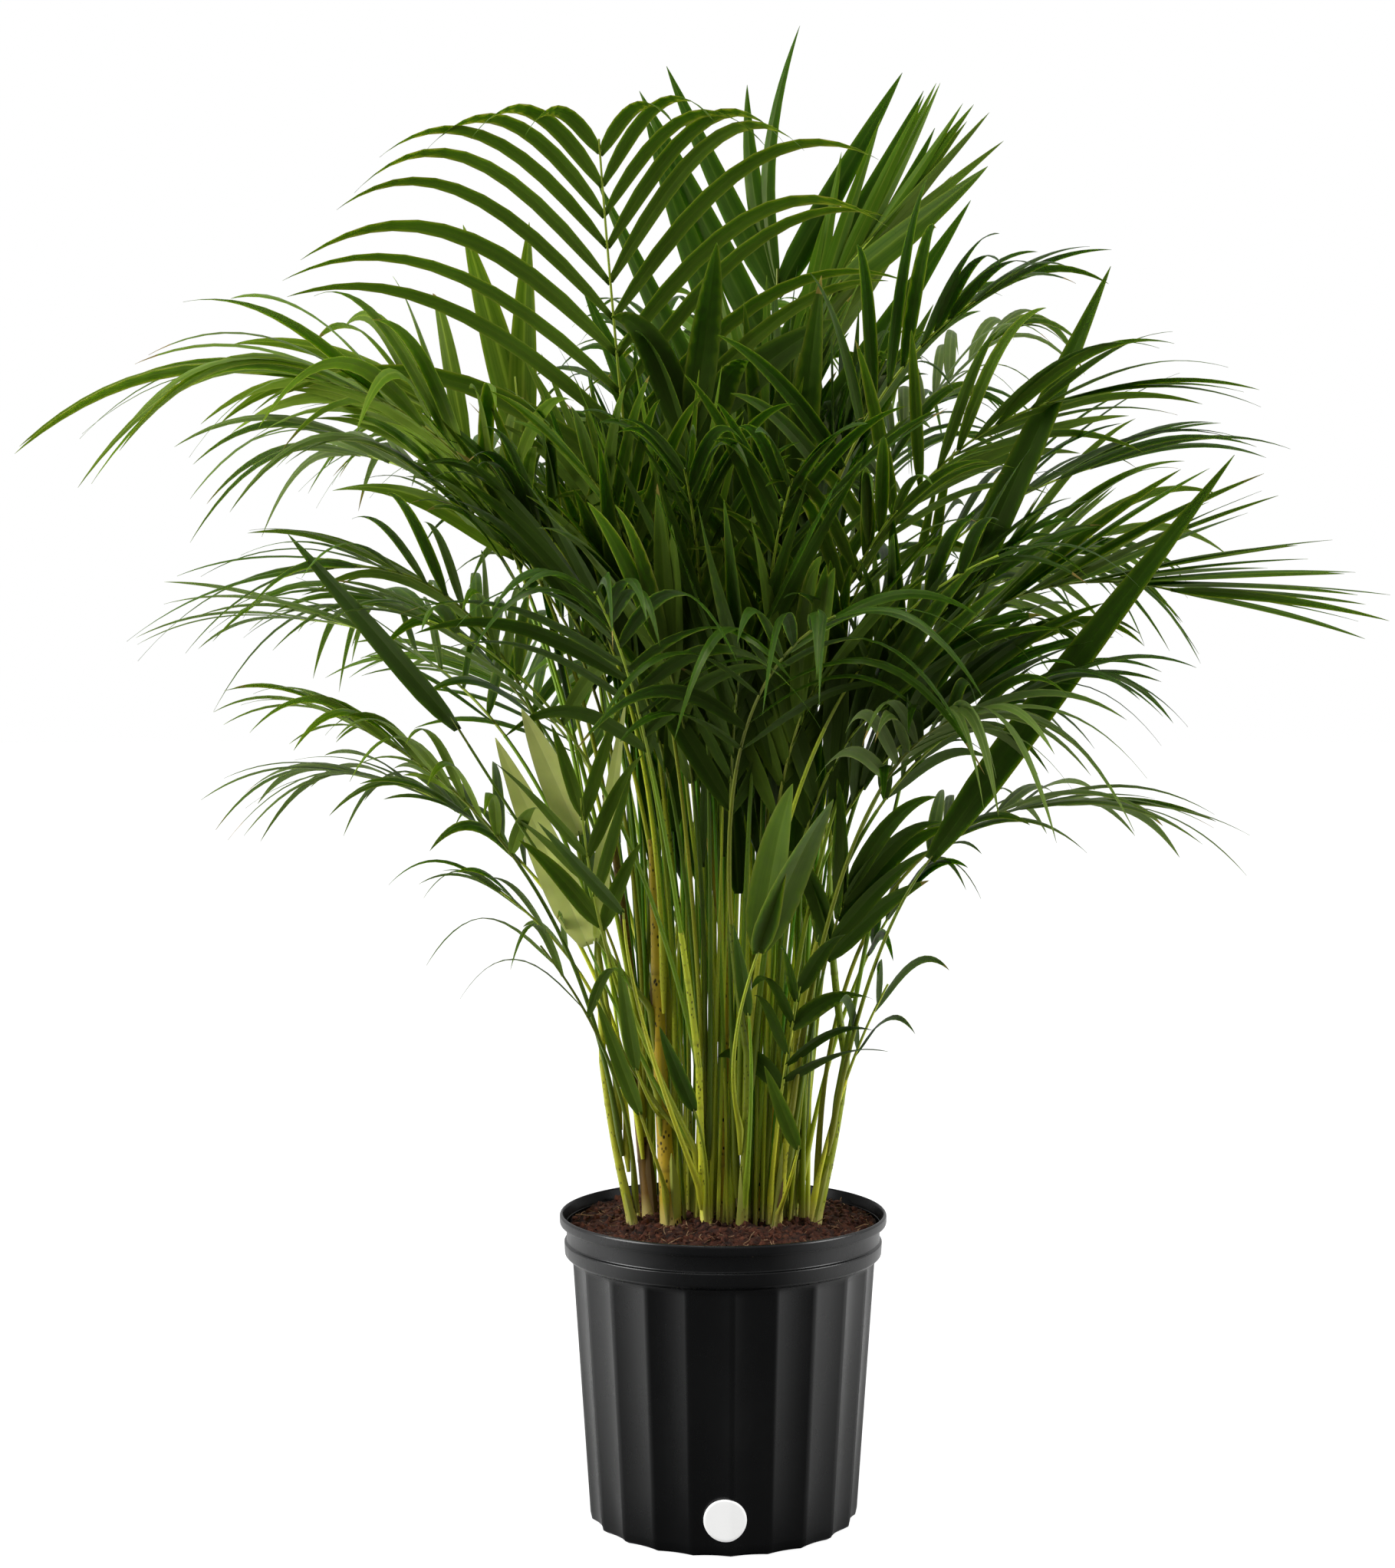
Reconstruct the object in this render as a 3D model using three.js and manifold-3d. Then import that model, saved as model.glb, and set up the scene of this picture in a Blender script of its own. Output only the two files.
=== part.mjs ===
// A potted areca palm: a fluted grower's pot filled with peat, a clump of fourteen canes, and the fronds
// that rise from them and arch out on every side. Each frond is a rib with its leaflets fused on.
// Millimetres and degrees, +Z up, the front towards -Y. The origin is the middle of the pot's underside.

import * as THREE from 'three';
import { mergeVertices } from 'three/addons/utils/BufferGeometryUtils.js';
import Module from 'manifold-3d';

const wasm = await Module();
wasm.setup();

// Driving sizes of the pot, from the underside up

const POT_HEIGHT = 220.7;
const RIM_RADIUS = 117.5;
const LIP_DEPTH = 7.5;
const COLLAR_RADIUS = 112.6;
const COLLAR_DEPTH = 31.2;
const BAND_DEPTH = 19.2;
const BAND_STEP = 1.2;
const SHOULDER_RADIUS = 107.7;
const CORNER_RADIUS = 95.8;
const CORNER_HEIGHT = 8;
const FOOT_RADIUS = 91.5;
const WALL = 2;
const FLOOR = 3;
const FLUTES = 22;
const FLUTE_DEPTH = 1.8;
const FLUTE_PHASE = 3.4;
const SEGMENTS_PER_FLUTE = 3;
const HOLE_WIDTH = 12;
const HOLE_HEIGHT = 17;
const HOLE_CENTRE = 16.4;
const HOLE_HEADINGS = [-85, 95, 185];

// Driving sizes of the peat and the blank label

const GAP = 0.3;
const SOIL_HEIGHT = 210;
const SOIL_FLAT = 84;
const SOIL_EDGE = 205.5;
const LABEL_RADIUS = 15;
const LABEL_CENTRE = 27.2;
const LABEL_HEADING = 0.9;
const LABEL_THICKNESS = 0.4;

// Canes: foot x, foot y, top x, top y, top height, radius at the foot, radius at the top

const CANES = [
  [-64, -8, -86, -14, 330, 4.0, 3.2],
  [-52, 10, -66, 20, 370, 6.4, 4.4],
  [-37, -12, -47, -18, 410, 7.0, 5.4],
  [-22, 12, -26, 22, 380, 4.4, 3.4],
  [-12, -20, -17, -36, 330, 4.2, 3.2],
  [1, -4, 0, -8, 420, 5.6, 4.2],
  [13, -22, 17, -38, 340, 5.2, 4.0],
  [27, 3, 41, 6, 410, 5.8, 4.4],
  [37, -17, 50, -30, 340, 4.2, 3.2],
  [49, 10, 66, 20, 370, 4.4, 3.4],
  [65, -5, 88, -8, 330, 5.6, 4.0],
  [-30, 36, -40, 60, 390, 4.4, 3.4],
  [6, 40, 6, 68, 410, 4.6, 3.6],
  [40, 34, 56, 60, 380, 4.4, 3.4],
];
const CANE_SIDES = 8;
const CANE_STEPS = 3;
const FOOT_FLARE = 1.15;

// How the leaflets of each kind of frond stand: width, opening from the rib at the first and last pair,
// fold up from the frond's plane, sag as a share of length, growth of the sag along the rib, and the
// length of the first and last pair as a share of the blade

const KINDS = {
  arch: { width: 13, open: [58, 22], fold: 24, sag: 0.95, curl: 0.4, low: 0.75, high: 0.5 },
  fan: { width: 14, open: [44, 16], fold: 40, sag: 0.35, curl: 0, low: 0.8, high: 0.7 },
  side: { width: 12, open: [50, 14], fold: 18, sag: 0.55, curl: 0, low: 0.7, high: 0.75 },
  young: { width: 22, open: [34, 12], fold: 20, sag: 0.25, curl: 0, low: 0.9, high: 0.9 },
  low: { width: 12, open: [50, 18], fold: 15, sag: 0.7, curl: 0, low: 0.8, high: 0.8 },
};

// Fronds: name, kind, tint, cane, share of the cane's height where it starts, tip and bend as
// [heading, reach, height], pairs of leaflets, share of the rib that is bare, longest leaflet, own sizes

const FRONDS = [
  ['crown_front', 'arch', 'mid', 4, 1, [-130, 130, 965], [-179, 70, 735], 12, 0.53, 330,
    { facing: -92, open: [44, 44], fold: 8, sag: 0.78, low: 1, high: 0.4 }],
  ['crown_back', 'fan', 'dark', 12, 1, [71, 95, 915], [162, 110, 800], 8, 0.6, 180,
    { width: 16, open: [16, 52], fold: 80, sag: 0.1, high: 0.95 }],
  ['crown_right', 'fan', 'mid', 8, 1, [32, 130, 935], [99, 45, 810], 10, 0.6, 200,
    { facing: -80, width: 15, open: [22, 8], fold: 20, sag: 0.2 }],
  ['broad_right', 'young', 'mid', 10, 1, [12, 95, 865], [48, 25, 815], 1, 0.92, 195,
    { facing: -90, width: 29, open: [3, 3], sag: 0, single: true }],
  ['arc_right', 'arch', 'dark', 8, 0.7, [-33, 200, 855], [-17, 25, 770], 10, 0.56, 215,
    { open: [58, 12], fold: 30, sag: 0.55 }],
  ['arc_right_back', 'arch', 'grey', 14, 1, [36, 255, 865], [65, 60, 705], 10, 0.56, 190, { fold: 25 }],
  ['reach_right', 'side', 'mid', 10, 0.7, [-27, 255, 790], [-42, 45, 745], 10, 0.5, 190, { facing: -60 }],
  ['reach_right_low', 'side', 'dark', 11, 1, [10, 280, 760], [36, 35, 690], 10, 0.5, 190, {}],
  ['blade_right', 'young', 'dark', 11, 0.8, [-22, 160, 660], [-20, 105, 565], 1, 0.95, 275,
    { facing: -90, width: 24, open: [4, 4], sag: -0.05, single: true }],
  ['blade_right_low', 'young', 'dark', 11, 0.6, [-22, 155, 480], [-21, 130, 450], 1, 0.95, 345,
    { facing: -90, open: [2, 2], sag: 0.15, single: true }],
  ['far_right', 'side', 'mid', 10, 0.45, [-5, 320, 665], [5, 80, 725], 11, 0.5, 180, { sag: 0.4 }],
  ['mid_right', 'side', 'mid', 14, 0.7, [27, 325, 715], [35, 65, 670], 10, 0.5, 180, { facing: -50 }],
  ['low_right', 'side', 'dark', 9, 1, [-33, 275, 600], [-32, 95, 555], 9, 0.5, 170, { sag: 0.6 }],
  ['droop_right', 'low', 'grey', 9, 0.7, [-47, 260, 580], [-41, 110, 565], 7, 0.6, 140, { sag: 1.2 }],
  ['hem_right', 'low', 'grey', 11, 0.4, [16, 295, 510], [2, 80, 530], 8, 0.55, 150, { sag: 0.75 }],
  ['small_right', 'low', 'dark', 10, 0.25, [8, 140, 455], [9, 90, 405], 4, 0.6, 90, {}],
  ['tiny_right', 'low', 'dark', 11, 0.2, [-14, 125, 400], [-8, 85, 330], 4, 0.4, 90, { sag: 0.9 }],
  ['far_left', 'side', 'light', 2, 1, [-158, 300, 805], [-172, 100, 785], 12, 0.45, 240,
    { fold: 12, sag: 0.95 }],
  ['arch_left', 'arch', 'grey', 1, 1, [159, 305, 775], [173, 95, 750], 10, 0.5, 195, { sag: 0.8 }],
  ['reach_left', 'side', 'mid', 1, 0.75, [-150, 300, 675], [-170, 115, 705], 10, 0.5, 190, { sag: 0.75 }],
  ['thin_left', 'side', 'grey', 2, 0.7, [158, 350, 650], [177, 125, 640], 8, 0.5, 190,
    { width: 9, sag: 0.45 }],
  ['blade_left', 'young', 'dark', 3, 0.8, [-141, 205, 555], [-155, 110, 420], 1, 0.93, 215,
    { facing: -100, width: 26, open: [9, 9], sag: 0.1 }],
  ['light_left', 'side', 'light', 1, 0.6, [-158, 265, 570], [-158, 115, 495], 9, 0.55, 165,
    { sag: 0.85 }],
  ['grey_left', 'side', 'grey', 2, 0.45, [172, 280, 535], [-165, 105, 515], 9, 0.5, 150, { sag: 0.95 }],
  ['small_left', 'low', 'mid', 1, 0.5, [-163, 170, 460], [-172, 70, 390], 4, 0.6, 110, {}],
  ['low_left', 'low', 'mid', 1, 0.25, [-155, 145, 400], [-168, 75, 325], 3, 0.6, 120, {}],
  ['upper_left', 'fan', 'light', 2, 0.85, [173, 235, 820], [173, 130, 740], 9, 0.5, 210,
    { facing: -80, width: 18, open: [40, 10], fold: 18, sag: 0.4 }],
  ['upright_left', 'fan', 'light', 12, 0.75, [147, 200, 795], [151, 120, 620], 5, 0.6, 205,
    { width: 17, open: [35, 20], fold: 75, sag: -0.1 }],
  ['front_low', 'arch', 'dark', 5, 1, [-107, 270, 655], [-117, 105, 595], 9, 0.5, 185,
    { fold: 20, sag: 1.1 }],
  ['front_right', 'arch', 'dark', 7, 1, [-76, 280, 640], [-106, 90, 595], 9, 0.5, 175,
    { fold: 20, sag: 1.2 }],
  ['spikes', 'fan', 'bright', 6, 0.8, [-104, 125, 665], [-135, 50, 560], 6, 0.6, 190,
    { facing: -90, width: 9, open: [24, 6], sag: 0 }],
  ['pale_left', 'young', 'pale', 5, 0.5, [-133, 150, 445], [-150, 100, 375], 2, 0.78, 170,
    { facing: -90, width: 27, open: [18, 8], sag: -0.05 }],
  ['bifid_front', 'young', 'mid', 7, 0.6, [-82, 130, 445], [-83, 60, 325], 2, 0.9, 135,
    { facing: -90, width: 30, open: [22, 8] }],
  ['cluster_right', 'young', 'dark', 9, 0.45, [-34, 105, 460], [-30, 75, 395], 4, 0.6, 140,
    { facing: -100, width: 20, open: [40, 12], sag: 0.4 }],
  ['small_front', 'low', 'dark', 9, 0.2, [-48, 80, 390], [-38, 50, 315], 4, 0.4, 80,
    { facing: -100, width: 16 }],
  ['broad_centre', 'young', 'dark', 6, 1, [-109, 65, 775], [-169, 30, 595], 2, 0.9, 200,
    { facing: -90, width: 34, open: [40, 15], sag: 0.3 }],
  ['upright_right', 'young', 'dark', 8, 0.85, [-31, 60, 735], [23, 30, 635], 1, 0.95, 150,
    { facing: -90, width: 24, open: [4, 4], sag: 0, single: true }],
  ['back_left', 'arch', 'mid', 12, 0.5, [127, 415, 815], [120, 150, 730], 10, 0.5, 210, {}],
  ['back_centre', 'arch', 'dark', 13, 1, [100, 305, 900], [112, 105, 675], 10, 0.5, 210, {}],
  ['back_right', 'arch', 'dark', 14, 0.45, [63, 370, 840], [76, 135, 725], 10, 0.5, 210, {}],
  ['back_low_left', 'side', 'mid', 13, 0.7, [122, 390, 620], [130, 165, 585], 9, 0.5, 190, {}],
  ['back_low', 'arch', 'mid', 13, 0.45, [94, 380, 660], [103, 190, 635], 9, 0.5, 190, {}],
  ['back_low_right', 'side', 'dark', 14, 0.25, [61, 380, 620], [70, 145, 635], 9, 0.5, 190, {}],
  // Second fronds from the foot of another, fused to it
  ['deep_left', 'arch', 'mid', 12, 0.5, [150, 330, 660], [150, 130, 660], 8, 0.5, 190, { host: 'back_left' }],
  ['deep_right', 'arch', 'dark', 14, 0.45, [38, 350, 690], [60, 150, 690], 8, 0.5, 190,
    { host: 'back_right' }],
  ['high_back', 'arch', 'mid', 13, 1, [88, 190, 940], [110, 40, 780], 8, 0.55, 190,
    { host: 'back_centre' }],
  ['front_left', 'arch', 'mid', 5, 1, [-137, 260, 600], [-150, 90, 565], 7, 0.5, 180,
    { host: 'front_low', sag: 1.1 }],
  ['front_corner', 'arch', 'dark', 7, 1, [-50, 270, 640], [-62, 90, 605], 7, 0.5, 175,
    { host: 'front_right', sag: 1.1 }],
];

// The solids carry about three leaflets for four on the plant, and wider ones, so that the crown looks as full

const PAIR_SHARE = 0.72;
const LEAST_WIDTH = 16;
const LEAST_THICKNESS = 2;
const THICKNESS_SHARE = 1 / 90;
const RIB_STEPS = 8;
const RIB_SIDES = 3;
const RIB_RADII = [2.6, 1.8, 1.2];

// What a leaflet or a petiole tries, in degrees, before it gives way to its neighbours

const LEAFLET_LIFTS = [0, 8, -8, 16, -16, 26, -26];
const PETIOLE_SWINGS = [0, 30, -30, 60, -60, 80, -80];
const BEND_SHIFTS = [0, 6, -6, 12, -12, 20, -20];

// Finishes: colour and roughness

const FINISHES = {
  pot: ['#17191c', 0.5],
  soil: ['#3b241b', 0.95],
  label: ['#f1f1ee', 0.6],
  cane: ['#a79a3c', 0.55],
  mid: ['#3f7a2b', 0.45],
  dark: ['#1f4d1c', 0.4],
  grey: ['#6f8f6a', 0.55],
  light: ['#87a83a', 0.5],
  bright: ['#4f9a34', 0.4],
  pale: ['#b9c98a', 0.5],
};

const UP = new THREE.Vector3(0, 0, 1);
const DEGREE = Math.PI / 180;
const lerp = THREE.MathUtils.lerp;

function finish(name) {
  const [color, roughness] = FINISHES[name];
  return new THREE.MeshStandardMaterial({ name, color, roughness, metalness: 0 });
}

// Solids

function volumeOf(positions, index) {
  const corners = [new THREE.Vector3(), new THREE.Vector3(), new THREE.Vector3()];
  let volume = 0;
  for (let i = 0; i < index.length; i += 3) {
    corners.forEach((corner, k) => corner.fromArray(positions, 3 * index[i + k]));
    volume += corners[0].dot(corners[1].cross(corners[2])) / 6;
  }
  return volume;
}

// Closes a geometry: shared points are merged, empty faces dropped and the faces turned outwards
function weld(geometry) {
  geometry.deleteAttribute('normal');
  geometry.deleteAttribute('uv');
  const merged = mergeVertices(geometry, 1e-4);
  const old = merged.index.array;
  const index = [];
  for (let i = 0; i < old.length; i += 3) {
    const [a, b, c] = [old[i], old[i + 1], old[i + 2]];
    if (a !== b && b !== c && c !== a) index.push(a, b, c);
  }
  if (volumeOf(merged.attributes.position.array, index) < 0) index.reverse();
  merged.setIndex(index);
  return merged;
}

function toSolid(geometry) {
  return new wasm.Manifold(new wasm.Mesh({
    numProp: 3,
    vertProperties: new Float32Array(geometry.attributes.position.array),
    triVerts: new Uint32Array(geometry.index.array),
  }));
}

function toGeometry(solid) {
  const mesh = solid.getMesh();
  const geometry = new THREE.BufferGeometry();
  geometry.setAttribute('position', new THREE.BufferAttribute(mesh.vertProperties, 3));
  geometry.setIndex(new THREE.BufferAttribute(mesh.triVerts, 1));
  return geometry;
}

// Turns a [radius, height] outline about the upright axis; press draws points in towards the axis
function revolve(outline, segments, phase, press) {
  const points = outline.map(([radius, height]) => new THREE.Vector2(radius, height));
  const geometry = new THREE.LatheGeometry(points, segments);
  const position = geometry.attributes.position;
  for (let i = 0; i < position.count; i += 1) {
    const column = Math.floor(i / points.length) % segments;
    const row = i % points.length;
    const angle = phase * DEGREE + (column / segments) * 2 * Math.PI;
    const radius = points[row].x - press(row, column);
    position.setXYZ(i, radius * Math.sin(angle), -radius * Math.cos(angle), points[row].y);
  }
  return weld(geometry);
}

// Skins a stack of rings with the same number of points; a ring of one point closes an end
function loft(rings) {
  const positions = rings.flat().flatMap((point) => point.toArray());
  const index = [];
  let start = 0;
  for (let r = 0; r + 1 < rings.length; r += 1) {
    const [low, high] = [rings[r].length, rings[r + 1].length];
    const next = start + low;
    for (let k = 0; k < Math.max(low, high); k += 1) {
      const [a, b] = [start + (k % low), start + ((k + 1) % low)];
      const [c, d] = [next + (k % high), next + ((k + 1) % high)];
      if (low > 1) index.push(a, b, d);
      if (high > 1) index.push(a, d, c);
    }
    start = next;
  }
  const first = rings[0].length;
  const last = rings[rings.length - 1].length;
  for (let k = 1; k + 1 < first; k += 1) index.push(0, k + 1, k);
  for (let k = 1; k + 1 < last; k += 1) index.push(start, start + k, start + k + 1);
  if (volumeOf(positions, index) < 0) index.reverse();
  const geometry = new THREE.BufferGeometry();
  geometry.setAttribute('position', new THREE.Float32BufferAttribute(positions, 3));
  geometry.setIndex(index);
  return geometry;
}

function ring(centre, across, up, radius, sides, turn) {
  return Array.from({ length: sides }, (_, k) => {
    const angle = turn + (k / sides) * 2 * Math.PI;
    return centre.clone()
      .addScaledVector(across, radius * Math.cos(angle))
      .addScaledVector(up, radius * Math.sin(angle));
  });
}

function polar([heading, reach, height]) {
  const angle = heading * DEGREE;
  return new THREE.Vector3(reach * Math.cos(angle), reach * Math.sin(angle), height);
}

// A repeatable number from 0 to 1 for a pair of whole numbers
function chance(i, j) {
  const value = Math.sin(i * 12.9898 + j * 78.233) * 43758.5453;
  return value - Math.floor(value);
}

// Pot

function bodyRadius(height) {
  const share = (height - CORNER_HEIGHT) / (POT_HEIGHT - COLLAR_DEPTH - CORNER_HEIGHT);
  return lerp(CORNER_RADIUS, SHOULDER_RADIUS, share);
}

const COLLAR_FOOT = POT_HEIGHT - COLLAR_DEPTH;
const INNER_STEP = COLLAR_FOOT - 4;
const COLLAR_INSIDE = COLLAR_RADIUS - WALL;
const BODY_INSIDE = bodyRadius(INNER_STEP) - FLUTE_DEPTH - WALL;
const FLOOR_INSIDE = CORNER_RADIUS - FLUTE_DEPTH - WALL;

function pot() {
  const lipFoot = POT_HEIGHT - LIP_DEPTH;
  const band = POT_HEIGHT - BAND_DEPTH;
  // radius, height, and how deep the flutes are pressed there
  const outline = [
    [0, 0, 0],
    [FOOT_RADIUS, 0, 0.8],
    [CORNER_RADIUS - 1.2, 2.5, 1],
    [CORNER_RADIUS, CORNER_HEIGHT, 1],
    [bodyRadius(COLLAR_FOOT - 10), COLLAR_FOOT - 10, 1],
    [bodyRadius(COLLAR_FOOT - 4), COLLAR_FOOT - 4, 0.65],
    [SHOULDER_RADIUS, COLLAR_FOOT, 0],
    [COLLAR_RADIUS, COLLAR_FOOT, 0],
    [COLLAR_RADIUS + BAND_STEP, band - 0.4, 0],
    [COLLAR_RADIUS, band, 0],
    [COLLAR_RADIUS, lipFoot, 0],
    [RIM_RADIUS - 0.5, lipFoot, 0],
    [RIM_RADIUS, lipFoot + 1.2, 0],
    [RIM_RADIUS, POT_HEIGHT - 1.4, 0],
    [RIM_RADIUS - 1.4, POT_HEIGHT, 0],
    [COLLAR_INSIDE + 3.4, POT_HEIGHT, 0],
    [COLLAR_INSIDE + 2, POT_HEIGHT - 1.2, 0],
    [COLLAR_INSIDE, lipFoot - 2, 0],
    [COLLAR_INSIDE, INNER_STEP + 4, 0],
    [BODY_INSIDE, INNER_STEP, 0],
    [FLOOR_INSIDE, CORNER_HEIGHT, 0],
    [FLOOR_INSIDE - 2, FLOOR, 0],
    [0, FLOOR, 0],
  ];
  const press = (row, column) => {
    const share = (column % SEGMENTS_PER_FLUTE) / SEGMENTS_PER_FLUTE;
    return outline[row][2] * FLUTE_DEPTH * Math.sin(Math.PI * share);
  };
  let body = toSolid(revolve(outline, FLUTES * SEGMENTS_PER_FLUTE, FLUTE_PHASE, press));
  for (const heading of HOLE_HEADINGS) {
    body = body.subtract(drainHole(heading));
  }
  return toGeometry(body);
}

// The opening of one drain hole, low in the wall: an upright oval run through it
function drainHole(heading) {
  const hole = new THREE.CylinderGeometry(0.5, 0.5, 1, 12);
  hole.scale(HOLE_WIDTH, 20, HOLE_HEIGHT);
  hole.translate(0, -CORNER_RADIUS, HOLE_CENTRE);
  hole.rotateZ(heading * DEGREE);
  return toSolid(weld(hole));
}

// Peat, from the floor of the pot to a flat top with a fallen edge
function soil() {
  const clear = GAP + 0.1;
  const outline = [
    [0, FLOOR + clear],
    [FLOOR_INSIDE - 2 - clear, FLOOR + clear],
    [FLOOR_INSIDE - clear, CORNER_HEIGHT],
    [BODY_INSIDE - clear, INNER_STEP + clear],
    [COLLAR_INSIDE - clear, INNER_STEP + 4 + clear],
    [COLLAR_INSIDE - clear, SOIL_EDGE],
    [lerp(SOIL_FLAT, COLLAR_INSIDE, 0.5), lerp(SOIL_HEIGHT, SOIL_EDGE, 0.6)],
    [SOIL_FLAT, SOIL_HEIGHT],
    [0, SOIL_HEIGHT],
  ];
  return revolve(outline, 2 * FLUTES, FLUTE_PHASE, () => 0);
}

// A round sticker, wrapped round the lower wall of the pot
function label() {
  const [back, face] = [GAP, GAP + LABEL_THICKNESS];
  const half = LABEL_RADIUS / 2;
  const outline = [[0, back], [half, back], [LABEL_RADIUS, back], [LABEL_RADIUS, face], [half, face], [0, face]];
  const disc = revolve(outline, 24, 0, () => 0);
  const position = disc.attributes.position;
  for (let i = 0; i < position.count; i += 1) {
    const height = LABEL_CENTRE + position.getY(i);
    const angle = LABEL_HEADING * DEGREE + position.getX(i) / bodyRadius(LABEL_CENTRE);
    const radius = bodyRadius(height) + position.getZ(i);
    position.setXYZ(i, radius * Math.sin(angle), -radius * Math.cos(angle), height);
  }
  return weld(disc);
}

// Canes

function canePoint(cane, share) {
  const [footX, footY, topX, topY, top] = cane;
  const foot = SOIL_HEIGHT + GAP;
  return new THREE.Vector3(lerp(footX, topX, share), lerp(footY, topY, share), lerp(foot, top, share));
}

function caneRadius(cane, share) {
  const [footRadius, topRadius] = cane.slice(5);
  return lerp(footRadius, topRadius, share) * lerp(FOOT_FLARE, 1, Math.min(1, share * CANE_STEPS));
}

function caneShape(cane) {
  const across = new THREE.Vector3(1, 0, 0);
  const along = new THREE.Vector3(0, 1, 0);
  const rings = Array.from({ length: CANE_STEPS + 1 }, (_, k) => {
    const share = k / CANE_STEPS;
    return ring(canePoint(cane, share), across, along, caneRadius(cane, share), CANE_SIDES, 0);
  });
  return loft(rings);
}

// Fronds

function readFrond([name, kind, tint, cane, start, tip, bend, pairs, bare, blade, own], order) {
  const frond = { ...KINDS[kind], ...own, name, tint, order, start, pairs, bare, blade };
  frond.cane = CANES[cane - 1];
  frond.caneName = caneName(cane);
  frond.tip = polar(tip);
  frond.bend = polar(bend);
  const fall = frond.tip.clone().sub(frond.bend);
  frond.facing ??= Math.atan2(fall.y, fall.x) / DEGREE;
  frond.node = `frond_${frond.host ?? name}`;
  return frond;
}

// The petiole stands on the cane's flat top, or beside the cane on the side that it leans away to
function petioleFoot(frond, swing) {
  const onCane = canePoint(frond.cane, frond.start);
  if (frond.start === 1) return onCane.addScaledVector(UP, GAP);
  const lean = canePoint(frond.cane, 1).sub(canePoint(frond.cane, 0));
  const rise = frond.bend.clone().sub(onCane);
  const away = rise.divideScalar(rise.z).addScaledVector(lean, -1 / lean.z);
  away.setZ(0).normalize().applyAxisAngle(UP, swing * DEGREE);
  return onCane.addScaledVector(away, caneRadius(frond.cane, frond.start) + RIB_RADII[0] + GAP);
}

function ribCurve(frond, swing, shift) {
  const foot = petioleFoot(frond, swing);
  const run = new THREE.Vector3().subVectors(frond.tip, foot).setZ(0).normalize();
  const bend = frond.bend.clone().addScaledVector(new THREE.Vector3(-run.y, run.x, 0), shift);
  return new THREE.QuadraticBezierCurve3(foot, bend, frond.tip);
}

function ribRadius(share) {
  const [foot, middle, tip] = RIB_RADII;
  return share < 0.5 ? lerp(foot, middle, 2 * share) : lerp(middle, tip, 2 * share - 1);
}

// The rib's rings: the first is level, and one of its corners points at the cane
function ribShape(frond, curve, swell) {
  const foot = curve.getPoint(0);
  const toCane = canePoint(frond.cane, frond.start).sub(foot).setZ(0);
  if (toCane.lengthSq() < 1) toCane.set(1, 0, 0);
  toCane.normalize();
  const rings = [];
  for (let k = 0; k <= RIB_STEPS; k += 1) {
    const share = k / RIB_STEPS;
    const tangent = k === 0 ? UP : curve.getTangent(share);
    const across = toCane.clone().addScaledVector(tangent, -toCane.dot(tangent)).normalize();
    const up = new THREE.Vector3().crossVectors(tangent, across);
    rings.push(ring(curve.getPoint(share), across, up, ribRadius(share) + swell, RIB_SIDES, 0));
  }
  return loft(rings);
}

// A place on the rib's middle line as its straight steps run, so that a leaflet's root is sunk in it
function ribPoint(curve, share) {
  const step = Math.min(RIB_STEPS - 1, Math.floor(share * RIB_STEPS));
  const low = curve.getPoint(step / RIB_STEPS);
  return low.lerp(curve.getPoint((step + 1) / RIB_STEPS), share * RIB_STEPS - step);
}

// The size and stance of one leaflet
function leafletPlan(frond, pair, side, lift) {
  const pairs = frond.single ? 1 : Math.max(1, Math.round(frond.pairs * PAIR_SHARE));
  const along = (pair + 0.5) / pairs;
  const share = lerp(frond.bare, 1, along);
  const tangent = frond.curve.getTangent(share);
  const facing = frond.facing * DEGREE;
  const across = new THREE.Vector3(Math.sin(facing), -Math.cos(facing), 0);
  across.addScaledVector(tangent, -across.dot(tangent)).normalize();
  const normal = new THREE.Vector3().crossVectors(across, tangent);
  const luck = (k) => 2 * chance(frond.order * 31 + pair * 2 + (side > 0 ? 1 : 0), k) - 1;
  const open = (lerp(frond.open[0], frond.open[1], along) + 4 * luck(1)) * DEGREE;
  const fold = (frond.fold + lift + 6 * luck(2)) * DEGREE;
  const direction = tangent.clone().multiplyScalar(Math.cos(open))
    .addScaledVector(across, side * Math.sin(open) * Math.cos(fold))
    .addScaledVector(normal, Math.sin(open) * Math.sin(fold));
  const fromPeak = (along - 0.35) / 0.65;
  const size = along < 0.35
    ? lerp(frond.low, 1, along / 0.35)
    : 1 - (1 - frond.high) * fromPeak ** 1.5;
  const length = frond.blade * size * (1 + 0.06 * luck(3));
  return {
    root: ribPoint(frond.curve, share),
    direction,
    edge: tangent.clone().addScaledVector(direction, -tangent.dot(direction)).normalize(),
    length,
    width: Math.max(frond.width, LEAST_WIDTH) * (1 - 0.25 * along),
    thickness: Math.max(LEAST_THICKNESS, length * THICKNESS_SHARE),
    sag: frond.sag * (1 + frond.curl * along) * (1 + 0.2 * luck(4)),
  };
}

// A leaflet's middle line falls away from its first direction as the square of the distance
function leafletFrame(plan, share) {
  const centre = plan.root.clone()
    .addScaledVector(plan.direction, plan.length * share)
    .addScaledVector(UP, -0.5 * plan.sag * plan.length * share * share);
  const along = plan.direction.clone().addScaledVector(UP, -plan.sag * share).normalize();
  const edge = plan.edge.clone().addScaledVector(along, -plan.edge.dot(along)).normalize();
  return { centre, edge, up: new THREE.Vector3().crossVectors(along, edge) };
}

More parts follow.
